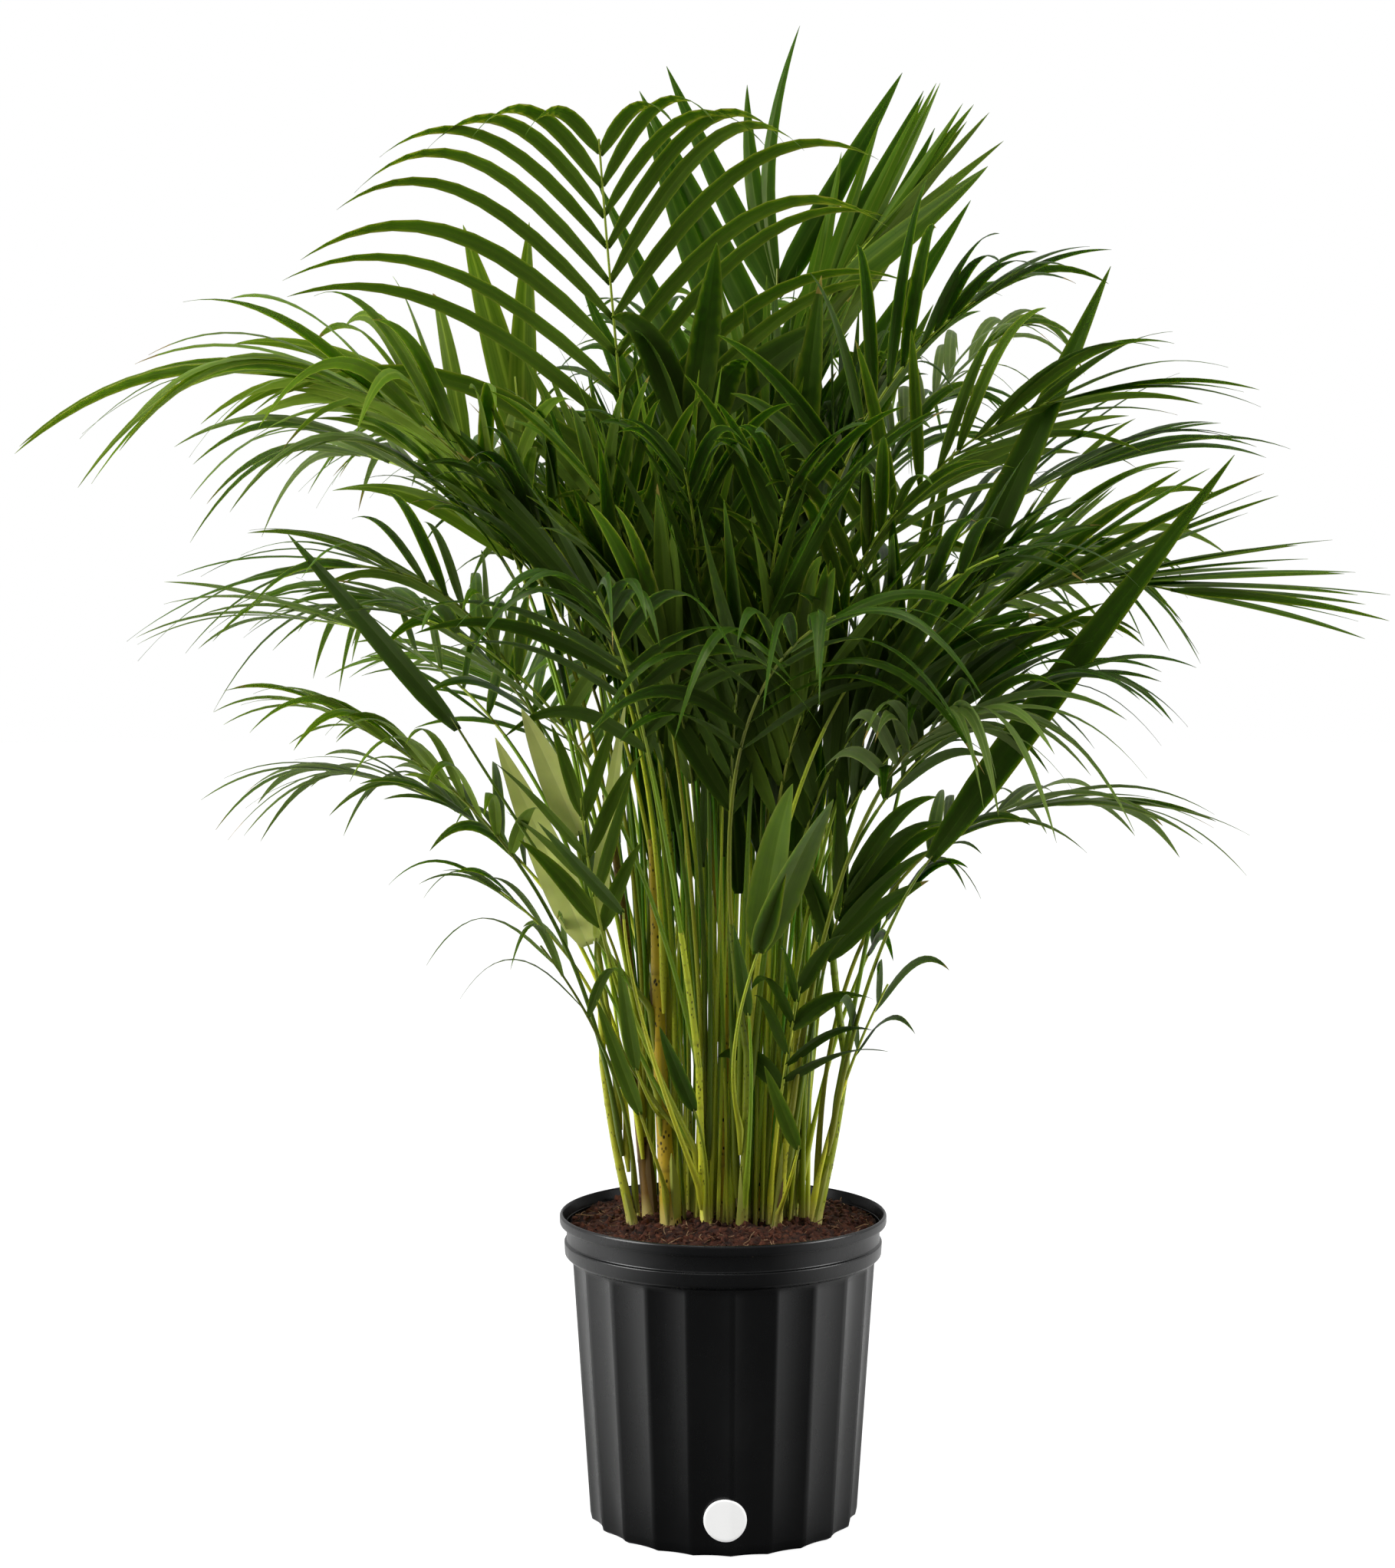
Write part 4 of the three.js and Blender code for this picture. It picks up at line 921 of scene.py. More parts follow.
def leaf_material(name, colour, midrib, gloss, midrib_share=0.45):
    paint, tree, shader = new_material(name, gloss, LEAF_SPECULAR)
    grain = use_group(tree, LEAF_GRAIN, Colour=colour, Midrib=midrib, Midrib_Share=midrib_share,
                      Gloss=gloss)
    tree.links.new(grain["Colour"], shader.inputs["Base Color"])
    tree.links.new(grain["Roughness"], shader.inputs["Roughness"])
    shader.inputs["Specular Tint"].default_value = LEAF_SHEEN
    let_light_in(shader)
    bump(tree, shader, grain["Height"], 0.0003, 0.3)
    return paint


def scaled(colour, factor):
    return (*(min(1.0, channel * factor) for channel in colour[:3]), 1.0)


def leaf_materials(tint):
    upper, midrib, under, gloss = TINTS[tint]
    shades = [leaf_material(f"leaf_{tint}_{k}", scaled(screen(*upper), step), screen(*midrib), gloss)
              for k, step in enumerate(SHADE_STEPS)]
    below = leaf_material(f"leaf_{tint}_under", screen(*under), screen(*midrib), gloss + 0.2, 0.2)
    dry = leaf_material(f"leaf_{tint}_dry", screen(*DRY_BROWN), screen(*DRY_BROWN), 0.6, 0.0)
    return [*shades, below, dry]


# %% The crown's leaves, one piece for each tint
def node_name(frond):
    return f"frond_{frond['host'] or frond['name']}"


leaflet_total = 0
for tint in TINTS:
    members = [frond for frond in fronds + inner if frond["tint"] == tint]
    rows = [row for frond in members for row in leaflet_rows(frond)]
    piece = blades(f"leaves_{tint}", rows, leaf_materials(tint))
    held = sorted({node_name(frond) for frond in fronds if frond["tint"] == tint and not frond["host"]})
    finish_piece(piece, held)
    leaflet_total += len(rows)
print("leaflets:", leaflet_total)


# %% [markdown]
# ## Canes, petioles and ribs
#
# All three are round stems that follow a path, so one Geometry Nodes tree sweeps them. It takes bare
# lines with a radius stored on each point, turns them into curves and sweeps a circle along. Every few
# centimetres it can raise a low ring, the scar that each fallen leaf leaves round a palm's cane.

# %% A tree that sweeps stems with ring scars
def tree_input(tree, title, kind, value=None):
    socket = tree.interface.new_socket(title, in_out="INPUT", socket_type=kind)
    if value is not None:
        socket.default_value = value
    return socket


def build_stem_tree():
    tree = bpy.data.node_groups.new("Sweep stems", "GeometryNodeTree")
    tree.interface.new_socket("Geometry", in_out="INPUT", socket_type="NodeSocketGeometry")
    tree_input(tree, "Sides", "NodeSocketInt", 10)
    tree_input(tree, "Step", "NodeSocketFloat", 0.01)
    tree_input(tree, "Ring Spacing", "NodeSocketFloat", 0.03)
    tree_input(tree, "Ring Height", "NodeSocketFloat", 0.0)
    tree_input(tree, "Material", "NodeSocketMaterial")
    tree.interface.new_socket("Geometry", in_out="OUTPUT", socket_type="NodeSocketGeometry")
    given = tree.nodes.new("NodeGroupInput").outputs
    out = tree.nodes.new("NodeGroupOutput").inputs
    curve = node(tree, "GeometryNodeMeshToCurve", None, Mesh=given["Geometry"])
    fine = node(tree, "GeometryNodeResampleCurve", dict(mode="LENGTH"), Curve=curve.outputs["Curve"],
                Length=given["Step"])
    radius = node(tree, "GeometryNodeInputNamedAttribute", dict(data_type="FLOAT"), Name="radius")
    run = tree.nodes.new("GeometryNodeSplineParameter").outputs["Length"]
    turn = maths(tree, "FRACT", maths(tree, "DIVIDE", run, given["Ring Spacing"]))
    near = maths(tree, "SUBTRACT", 1.0, maths(tree, "MULTIPLY", turn, 9.0), clamp=True)
    swell = maths(tree, "MULTIPLY", near, given["Ring Height"])
    scale = maths(tree, "ADD", radius.outputs["Attribute"], swell)
    marked = node(tree, "GeometryNodeStoreNamedAttribute", dict(data_type="FLOAT", domain="POINT"),
                  Geometry=fine.outputs["Curve"], Name="ring", Value=near)
    circle = node(tree, "GeometryNodeCurvePrimitiveCircle", None, Resolution=given["Sides"])
    circle.inputs["Radius"].default_value = 1.0
    swept = node(tree, "GeometryNodeCurveToMesh", None, Curve=marked.outputs["Geometry"], Scale=scale)
    tree.links.new(circle.outputs["Curve"], swept.inputs["Profile Curve"])
    swept.inputs["Fill Caps"].default_value = True
    smooth = node(tree, "GeometryNodeSetShadeSmooth", None, Geometry=swept.outputs["Mesh"])
    real = node(tree, "GeometryNodeRealizeInstances", None, Geometry=smooth.outputs["Geometry"])
    painted = node(tree, "GeometryNodeSetMaterial", None, Geometry=real.outputs["Geometry"],
                   Material=given["Material"])
    tree.links.new(painted.outputs["Geometry"], out["Geometry"])
    return tree


STEM_TREE = build_stem_tree()
print("a tree for stems:", STEM_TREE.name)


def input_name(tree, title):
    return next(item.identifier for item in tree.interface.items_tree
                if item.name == title and item.in_out == "INPUT")


def apply_modifiers(piece):
    """Keeps the mesh that the object's modifiers make, and drops the modifiers."""
    evaluated = piece.evaluated_get(bpy.context.evaluated_depsgraph_get())
    mesh = bpy.data.meshes.new_from_object(evaluated)
    piece.modifiers.clear()
    piece.data = mesh


def run_tree(piece, tree, **values):
    """Runs a tree on the object once, keeps the mesh it makes and drops the modifier."""
    modifier = piece.modifiers.new(tree.name, "NODES")
    modifier.node_group = tree
    for title, value in values.items():
        modifier[input_name(tree, title.replace("_", " "))] = value
    apply_modifiers(piece)


def lines_object(name, lines):
    """An object of bare lines, each a pair of points and radii in millimetres, with its own tone."""
    points = np.concatenate([line[0] for line in lines]) * MM
    radii = np.concatenate([line[1] for line in lines]) * MM
    tones = np.concatenate([np.full(len(line), (chance(k, 41) + 1) / 2)
                            for k, (line, _) in enumerate(lines)])
    edges = []
    start = 0
    for line, _ in lines:
        edges += [(start + k, start + k + 1) for k in range(len(line) - 1)]
        start += len(line)
    mesh = bpy.data.meshes.new(name)
    mesh.from_pydata(points.tolist(), edges, [])
    for title, values in (("radius", radii), ("tone", tones)):
        layer = mesh.attributes.new(title, "FLOAT", "POINT")
        layer.data.foreach_set("value", values.astype(np.float32))
    made = bpy.data.objects.new(name, mesh)
    bpy.context.scene.collection.objects.link(made)
    return made


# %% [markdown]
# A cane is waxy and yellow-green, browner where it is old, with dark specks in clusters and a dark line
# under each ring. The ring marks come from the attribute that the sweep stored, so they sit exactly on
# the relief.

# %% Stem finishes
STEMS = {
    # lower colour, upper colour, share of specks, size of specks, roughness
    "yellow": ((196, 168, 50), (176, 158, 46), 1.0, 330.0, 0.34),
    "green": ((190, 194, 62), (134, 160, 42), 0.7, 420.0, 0.32),
    "brown": ((122, 92, 40), (112, 108, 38), 0.7, 380.0, 0.42),
    "petiole": ((196, 200, 58), (110, 142, 32), 0.3, 600.0, 0.3),
    "rib": ((176, 190, 66), (152, 174, 54), 0.0, 600.0, 0.32),
    "shoot": ((200, 212, 66), (88, 140, 30), 0.15, 600.0, 0.3),
}
PALE_FOOT = (206, 196, 128)
SPECK = (40, 36, 16)
RING_LINE = (92, 78, 34)


def stem_material(name):
    lower, upper, specks, scale, roughness = STEMS[name]
    paint, tree, shader = new_material(f"stem_{name}", roughness, 0.4)
    tone = node(tree, "ShaderNodeAttribute", dict(attribute_name="tone")).outputs["Fac"]
    grain = use_group(tree, STEM_GRAIN, Colour=screen(*lower), Tip_Colour=screen(*upper),
                      Foot_Colour=screen(*PALE_FOOT), Speck_Colour=screen(*SPECK), Specks=specks,
                      Speck_Scale=scale, Tone=tone)
    ring = node(tree, "ShaderNodeAttribute", dict(attribute_name="ring")).outputs["Fac"]
    lined = mix_colour(tree, ramp(tree, ring, 0.0, 1.0, 0.0, 0.4), grain["Colour"], screen(*RING_LINE))
    tree.links.new(lined, shader.inputs["Base Color"])
    bump(tree, shader, grain["Height"], 0.0002, 0.3)
    let_light_in(shader)
    return paint


# %% Sweeping the canes
SHAFT_SHARE = 0.2
SHAFT_END_RADIUS = 2.1
CANE_BOW = 2.0
FOOT_SWELL = 0.18
FOOT_IN_PEAT = 4.0


def crown_shaft(cane):
    """Where the cane's last sheath runs out along the petiole that stands on it."""
    standing = [frond for frond in fronds if frond["cane"] is cane and frond["start"] == 1]
    share = np.linspace(0.02, SHAFT_SHARE, 8)
    if standing:
        return on_curve(standing[0]["ends"], share)
    top = cane_point(cane, 1)
    lean = top - cane_point(cane, 0)
    return top + share[:, None] * 2 * lean


def cane_line(cane):
    share = np.linspace(0, 1, 13)
    bow = CANE_BOW * np.sin(share * math.pi)[:, None] * unit(np.array([cane[0], cane[1], 0.0]))
    points = np.array([cane_point(cane, s) for s in share]) + bow
    radii = np.array([cane_radius(cane, s) * (1 + FOOT_SWELL * math.exp(-s * 14)) for s in share])
    points[0, 2] -= FOOT_IN_PEAT
    after = crown_shaft(cane)
    fade = lerp(radii[-1], SHAFT_END_RADIUS, np.linspace(0.1, 1, len(after)))
    return np.concatenate([points, after]), np.concatenate([radii, fade])


for colour in ("yellow", "green", "brown"):
    chosen = [k for k, cane in enumerate(CANES) if cane[7] == colour]
    piece = lines_object(f"canes_{colour}", [cane_line(CANES[k]) for k in chosen])
    run_tree(piece, STEM_TREE, Sides=20, Step=0.0018, Ring_Spacing=0.047, Ring_Height=0.0003,
             Material=stem_material(colour))
    finish_piece(piece, [f"cane_{k + 1:02d}" for k in chosen])


# %% [markdown]
# A petiole starts as a sheath that clasps its cane, so its line is carried down beside the cane before it
# swings out. Along its bare part it is one colour, and the rib between the leaflets is a little greener
# and thinner.

# %% Petioles and ribs
CLASP = 0.16


def rib_radius(share):
    foot, middle, tip = RIB_RADII
    thick = np.where(share < 0.5, lerp(foot, middle, 2 * share), lerp(middle, tip, 2 * share - 1))
    return thick * lerp(1, STEM_SLIMNESS, np.clip(share / 0.1, 0, 1))


def petiole_line(frond):
    share = np.linspace(0, frond["bare"], 16)
    points = on_curve(frond["ends"], share)
    radii = rib_radius(share)
    if frond["start"] < 1:
        below = np.linspace(max(0.02, frond["start"] - CLASP), frond["start"] - 0.03, 7)
        reach = np.linspace(0.75, 1.0, 7)
        beside = np.array([cane_point(frond["cane"], s) + frond["away"] * r
                           * (cane_radius(frond["cane"], s) + RIB_RADII[0] * 0.9)
                           for s, r in zip(below, reach)])
        points = np.concatenate([beside, points])
        radii = np.concatenate([np.linspace(1.4, 2.6, 7), radii])
    return points, radii


def rib_line(frond):
    share = np.linspace(frond["bare"], 1, 18)
    return on_curve(frond["ends"], share), rib_radius(share) * 0.9


piece = lines_object("petioles", [petiole_line(frond) for frond in fronds + inner])
run_tree(piece, STEM_TREE, Sides=10, Step=0.006, Ring_Spacing=1.0, Ring_Height=0.0,
         Material=stem_material("petiole"))
finish_piece(piece)
piece = lines_object("ribs", [rib_line(frond) for frond in fronds + inner])
run_tree(piece, STEM_TREE, Sides=8, Step=0.008, Ring_Spacing=1.0, Ring_Height=0.0,
         Material=stem_material("rib"))
finish_piece(piece)


# %% [markdown]
# ## Shoots
#
# Between the canes the foot of the clump bristles with thin green stems of next year's fronds. Each ends
# in a spear, a leaf that is still folded. Every second one has begun to open, so it is broader and leans
# more. The shoots lean outwards in proportion to how far from the middle they stand. Left of the middle
# the front is clear: there they stand further back, so that the canes behind show.

# %% Shoots and their spears
SHOOTS = 112
SHOOT_SPREAD = (62.0, 30.0)
SHOOT_MIDDLE = 8
SHOOT_DEPTH = 3
SHOOT_RISE = (230, 520)
SHOOT_LEAN = 0.42
SHOOT_STRAY = 16
# the leans are for a shoot of this height
LEAN_RISE = 300
CLEAR_FRONT = (-60, -28)
CLEAR_DEPTH = 30
SPEAR_LENGTH = (95, 175)
SPEAR_WIDTH = 9.0
BROAD_SPEAR_WIDTH = (12, 21)
BROAD_SPEAR_LEAN = 0.35


def shoot_row(k):
    angle = math.radians(k * GOLDEN_ANGLE)
    out = math.sqrt((k + 0.5) / SHOOTS)
    foot = np.array([SHOOT_SPREAD[0] * out * math.cos(angle),
                     SHOOT_MIDDLE + SHOOT_SPREAD[1] * out * math.sin(angle), SOIL_HEIGHT - SHOOT_DEPTH])
    if CLEAR_FRONT[0] < foot[0] < CLEAR_FRONT[1] and foot[1] < SHOOT_MIDDLE:
        foot[1] += CLEAR_DEPTH
    rise = lerp(*SHOOT_RISE, (chance(k, 21) + 1) / 2)
    lean = SHOOT_LEAN * foot + SHOOT_STRAY * np.array([chance(k, 28), chance(k, 29), 0])
    lean[1] -= SHOOT_MIDDLE * SHOOT_LEAN
    top = foot + np.array([lean[0] * rise / LEAN_RISE, lean[1] * rise / LEAN_RISE, rise])
    bend = lerp(foot, top, 0.55) * (0.92, 0.92, 1)
    return foot, bend, top


def shoot_line(k):
    share = np.linspace(0, 1, 12)
    return on_curve(shoot_row(k), share), lerp(1.6, 0.8, share) * (1 + 0.35 * chance(k, 22))


def spear_row(k):
    ends = shoot_row(k)
    direction = along_curve(ends, 1.0)
    if k % 2 == 0:
        edge = unit(np.cross(direction, polar(k * GOLDEN_ANGLE, 1, 0)))
        direction = unit(direction + BROAD_SPEAR_LEAN * chance(k, 27) * edge)
        width = lerp(*BROAD_SPEAR_WIDTH, k * GOLDEN_SHARES[1] % 1)
        sag = 0.12
        most_turn = 0.4
    else:
        edge = unit(np.cross(direction, UP + 0.3 * polar(k * 50.0, 1, 0)))
        width = SPEAR_WIDTH
        sag = 0.05
        most_turn = 1.5
    return dict(
        root=ends[2], direction=direction, edge=edge, side=1, out=-UP + polar(k * 70.0, 2, 0),
        length=lerp(*SPEAR_LENGTH, (chance(k, 23) + 1) / 2), width=width, sag=sag,
        twist=0.3 * chance(k, 24), turn=most_turn * chance(k, 25), bow=0.06 * chance(k, 26),
        shade=k % SHADES, dry=False)


piece = lines_object("shoots", [shoot_line(k) for k in range(SHOOTS)])
run_tree(piece, STEM_TREE, Sides=9, Step=0.008, Ring_Spacing=1.0, Ring_Height=0.0,
         Material=stem_material("shoot"))
finish_piece(piece)
piece = blades("spears", [spear_row(k) for k in range(SHOOTS)], leaf_materials("dark"))
finish_piece(piece)


# %% [markdown]
# ## Sheaths
#
# Each leaf that died back has left its sheath, a pale tongue that still clasps the foot of the cane.
# Young ones are cream to yellow-green and old ones are grey-brown paper. A sheath is a blade too, with a
# far deeper crease, so that its edges reach round the stem.

# %% Sheaths on the canes
SHEATH_ROWS = [
    # cane, start and end as shares of its height, side it clasps in degrees, finish
    (1, 0.0, 0.22, -100, "young"), (2, 0.0, 0.4, -60, "old"), (3, 0.0, 0.28, -70, "young"),
    (3, 0.32, 0.92, -150, "old"), (4, 0.0, 0.3, -110, "young"), (5, 0.0, 0.55, -95, "young"),
    (6, 0.0, 0.3, -80, "young"), (6, 0.25, 0.7, -120, "young"), (7, 0.0, 0.38, -130, "young"),
    (7, 0.1, 0.7, -60, "young"), (8, 0.0, 0.24, -75, "old"), (8, 0.12, 0.6, -105, "young"),
    (9, 0.0, 0.5, -120, "young"), (9, 0.0, 0.3, -50, "old"), (10, 0.0, 0.3, -90, "young"),
    (11, 0.0, 0.4, -80, "young"), (12, 0.0, 0.4, 110, "old"), (13, 0.0, 0.35, 80, "young"),
    (14, 0.0, 0.4, 60, "young"),
]
SHEATHS = {
    # surface, veins, roughness
    "young": ((172, 180, 84), (186, 190, 100), 0.4),
    "old": ((112, 90, 60), (132, 110, 78), 0.7),
}
SHEATH_LIFT = 0.6
SHEATH_WRAP = 1.7


def sheath_row(order, number, start, end, side):
    cane = CANES[number - 1]
    low = cane_point(cane, start)
    axis = cane_point(cane, end) - low
    out = unit(polar(side, 1, 0))
    radius = cane_radius(cane, start)
    return dict(
        root=low + out * (radius + SHEATH_LIFT), direction=unit(axis), edge=unit(np.cross(axis, out)),
        side=1, out=out, length=np.linalg.norm(axis), width=SHEATH_WRAP * radius, sag=0.0,
        twist=0.3 * chance(order, 51), turn=0.1, bow=0.03 * chance(order, 52), shade=0, dry=False)


def sheath_material(name):
    colour, vein, roughness = SHEATHS[name]
    return leaf_material(f"sheath_{name}", screen(*colour), screen(*vein), roughness, 0.0)


for finish in SHEATHS:
    rows = [sheath_row(k, *row[:4]) for k, row in enumerate(SHEATH_ROWS) if row[4] == finish]
    paper = sheath_material(finish)
    piece = blades(f"sheaths_{finish}", rows, [paper] * (SHADES + 2), thickness=0.7, crease=1.1)
    finish_piece(piece)


# %% [markdown]
# ## The pot
#
# The pot is blow-moulded from black plastic: a rolled lip, a collar in two bands, and a body pressed into
# shallow flutes that meet in crisp ridges. An outline turned about the axis gives its shape, and the
# flutes press the outer wall in as a parabola between ridges, so each catches the light on the side that
# faces it. The flutes fade out under the collar. Only the three drain holes need a Boolean cut.

# %% Pot sizes and outline
POT_HEIGHT = 220.7
RIM_RADIUS = 117.5
LIP_DEPTH = 7.5
COLLAR_RADIUS = 112.6
COLLAR_DEPTH = 31.2
BAND_DEPTH = 19.2
BAND_STEP = 1.7
SHOULDER_RADIUS = 109.2
CORNER_RADIUS = 96.8
CORNER_HEIGHT = 8.0
FOOT_RADIUS = 91.5
WALL = 2.0
FLOOR_THICKNESS = 3.0
FLUTES = 22
FLUTE_DEPTH = 3.1
FLUTE_PHASE = 3.4
POINTS_PER_FLUTE = 12
HOLE_WIDTH = 12.0
HOLE_HEIGHT = 17.0
HOLE_CENTRE = 16.4
HOLE_HEADINGS = (-85, 95, 185)
COLLAR_FOOT = POT_HEIGHT - COLLAR_DEPTH
LIP_FOOT = POT_HEIGHT - LIP_DEPTH
BAND = POT_HEIGHT - BAND_DEPTH
INNER_STEP = COLLAR_FOOT - 4
# depth below the collar, and the share of the flutes' depth that is left there
FLUTE_FADE = ((6, 1.0), (4.8, 0.94), (3.7, 0.8), (2.7, 0.55), (1.8, 0.3), (1.1, 0.12), (0.5, 0.0))


def body_radius(height):
    return lerp(CORNER_RADIUS, SHOULDER_RADIUS, (height - CORNER_HEIGHT) / (COLLAR_FOOT - CORNER_HEIGHT))


BODY_INSIDE = body_radius(INNER_STEP) - FLUTE_DEPTH - WALL
FLOOR_INSIDE = CORNER_RADIUS - FLUTE_DEPTH - WALL
COLLAR_INSIDE = COLLAR_RADIUS - WALL


def rounded(points, radius=0.8, steps=3):
    """The outline with each corner cut into a short arc. Rows are radius, height, flute share."""
    result = [points[0]]
    for before, corner, after in zip(points, points[1:], points[2:]):
        middle = np.array(corner[:2])
        to_before = np.subtract(before, corner)[:2]
        to_after = np.subtract(after, corner)[:2]
        reach = min(radius, 0.45 * np.linalg.norm(to_before), 0.45 * np.linalg.norm(to_after))
        ends = (middle + unit(to_before) * reach, middle, middle + unit(to_after) * reach)
        result += [(*on_curve(ends, k / steps), corner[2]) for k in range(steps + 1)]
    result.append(points[-1])
    return np.array(result, float)


def pot_outline():
    wall = [(body_radius(z), z, 1.0) for z in np.linspace(CORNER_HEIGHT, COLLAR_FOOT - 11, 12)]
    shoulder = [(body_radius(COLLAR_FOOT - depth), COLLAR_FOOT - depth, share)
                for depth, share in FLUTE_FADE]
    return rounded([
        (0.01, 1.0, 0), (FOOT_RADIUS - 10, 1.0, 0), (FOOT_RADIUS - 7, 0, 0.2), (FOOT_RADIUS, 0, 0.8),
        (CORNER_RADIUS - 1.2, 2.5, 1), *wall, *shoulder,
        (COLLAR_RADIUS - 1.2, COLLAR_FOOT, 0), (COLLAR_RADIUS + BAND_STEP - 0.5, COLLAR_FOOT + 2.4, 0),
        (COLLAR_RADIUS + BAND_STEP, BAND - 0.8, 0), (COLLAR_RADIUS, BAND, 0),
        (COLLAR_RADIUS, LIP_FOOT, 0), (RIM_RADIUS - 0.5, LIP_FOOT, 0), (RIM_RADIUS, LIP_FOOT + 1.5, 0),
        (RIM_RADIUS, POT_HEIGHT - 1.2, 0), (RIM_RADIUS - 0.9, POT_HEIGHT, 0),
        (RIM_RADIUS - 1.8, POT_HEIGHT, 0), (RIM_RADIUS - 2.5, POT_HEIGHT - 1.2, 0),
        (COLLAR_INSIDE, LIP_FOOT - 8, 0), (COLLAR_INSIDE, INNER_STEP + 4, 0),
        (BODY_INSIDE, INNER_STEP, 0), (FLOOR_INSIDE, CORNER_HEIGHT, 0),
        (FLOOR_INSIDE - 2, FLOOR_THICKNESS, 0), (0.01, FLOOR_THICKNESS, 0)])


print("points on the pot's outline:", len(pot_outline()))


# %% Turning the pot
def turn_outline(outline, columns, phase):
    """Turns an outline about the axis, the flutes pressed in, and closes it on the axis."""
    angle = math.radians(phase) + np.arange(columns) / columns * 2 * math.pi
    share = (np.arange(columns) % POINTS_PER_FLUTE) / POINTS_PER_FLUTE
    press = FLUTE_DEPTH * 4 * share * (1 - share)
    radius = outline[:, 0][None, :] - press[:, None] * outline[:, 2][None, :]
    points = np.stack([radius * np.sin(angle)[:, None], -radius * np.cos(angle)[:, None],
                       np.broadcast_to(outline[:, 1], radius.shape)], -1)
    rows = len(outline)
    column = np.arange(columns)[:, None] * rows
    after = (np.arange(columns)[:, None] + 1) % columns * rows
    row = np.arange(rows - 1)[None, :]
    quads = np.stack([column + row, after + row, after + row + 1, column + row + 1], -1).reshape(-1, 4)
    caps = [np.arange(columns)[None, :] * rows, np.arange(columns)[None, ::-1] * rows + rows - 1]
    points = points.reshape(-1, 3) * MM
    return points, outward(points, [quads, caps[0][:, ::-1], caps[1][:, ::-1]])


def drill(piece, heading):
    """Cuts one upright oval drain hole through the wall."""
    drill_bit = bmesh.new()
    bmesh.ops.create_cone(drill_bit, cap_ends=True, segments=28, radius1=0.5, radius2=0.5, depth=1)
    shape = Matrix.Rotation(math.radians(heading), 4, "Z")
    shape = shape @ Matrix.Translation((0, -CORNER_RADIUS * MM, HOLE_CENTRE * MM))
    shape = shape @ Matrix.Diagonal((HOLE_WIDTH * MM, 0.02, HOLE_HEIGHT * MM, 1))
    shape = shape @ Matrix.Rotation(math.pi / 2, 4, "X")
    bmesh.ops.transform(drill_bit, matrix=shape, verts=drill_bit.verts)
    mesh = bpy.data.meshes.new("drill")
    drill_bit.to_mesh(mesh)
    drill_bit.free()
    tool = bpy.data.objects.new("drill", mesh)
    bpy.context.scene.collection.objects.link(tool)
    cut = piece.modifiers.new("hole", "BOOLEAN")
    cut.operation = "DIFFERENCE"
    cut.object = tool
    apply_modifiers(piece)
    bpy.data.objects.remove(tool)


# %% [markdown]
# Black plastic like this is satin, not glossy. It shows faint vertical draw marks, a dusting of pale
# scuffs and a slight orange-peel. Roughness carries most of it, because a black surface shows little
# else. The inside of the wall is dull with peat dust. The product of a point's place and its normal tells
# the two sides apart: it is negative where the surface faces the axis.

# %% Pot finish
def pot_material():
    paint, tree, shader = new_material("black_plastic", 0.25)
    place = tree.nodes.new("ShaderNodeTexCoord").outputs["Object"]
    cloud = noise(tree, place, 16.0, 5.0, 0.6)
    draw = noise(tree, stretched(tree, place, (1.0, 1.0, 0.05)), 190.0, 3.0)
    scratch = noise(tree, stretched(tree, place, (1.0, 1.0, 4.0)), 260.0, 4.0, 0.7)
    scuff = maths(tree, "MULTIPLY", ramp(tree, scratch, 0.66, 0.74), ramp(tree, cloud, 0.5, 0.62))
    dust = ramp(tree, cloud, 0.42, 0.75, 0.0, 0.3)
    base = mix_colour(tree, dust, screen(10, 11, 12), screen(24, 25, 26))
    tree.links.new(mix_colour(tree, maths(tree, "MULTIPLY", scuff, 0.35), base, screen(96, 96, 94)),
                   shader.inputs["Base Color"])
    rough = maths(tree, "ADD", ramp(tree, cloud, 0.35, 0.7, 0.18, 0.28), maths(tree, "MULTIPLY", draw, 0.1))
    tree.links.new(rough, shader.inputs["Roughness"])
    peel = noise(tree, place, 700.0, 2.0)
    height = maths(tree, "ADD", maths(tree, "MULTIPLY", peel, 0.25), maths(tree, "MULTIPLY", draw, 0.5))
    bump(tree, shader, height, 0.0003, 0.15)
    normal = node(tree, "ShaderNodeNewGeometry").outputs["Normal"]
    facing_out = node(tree, "ShaderNodeVectorMath", dict(operation="DOT_PRODUCT"),
                      i0=stretched(tree, place, (1.0, 1.0, 0.0)), i1=normal).outputs["Value"]
    tree.links.new(ramp(tree, facing_out, -0.06, -0.02, 0.08, 0.6), shader.inputs["Specular IOR Level"])
    return paint


points, faces = turn_outline(pot_outline(), FLUTES * POINTS_PER_FLUTE, FLUTE_PHASE)
pot = mesh_object("pot_shell", points, faces, [pot_material()])
for hole_heading in HOLE_HEADINGS:
    drill(pot, hole_heading)
finish_piece(pot, ["pot"])


# %% [markdown]
# ## The label
#
# A round paper sticker, stretched over the flutes near the foot. It is blank. Rings of points laid on the
# wall make it follow the flutes part of the way in, as paper does when it is pressed on by hand. A little
# light of its own is a painted glow, which keeps the paper white where the front of the studio is dark.

# %% Sticker
LABEL_RADIUS = 15.0
LABEL_CENTRE = 27.2
LABEL_HEADING = 0.9
LABEL_LIFT = 0.35
LABEL_PRESS = 0.35
LABEL_THICKNESS = 0.3
LABEL_RINGS = 8
LABEL_POINTS = 64
LABEL_PAINTED_GLOW = 0.5


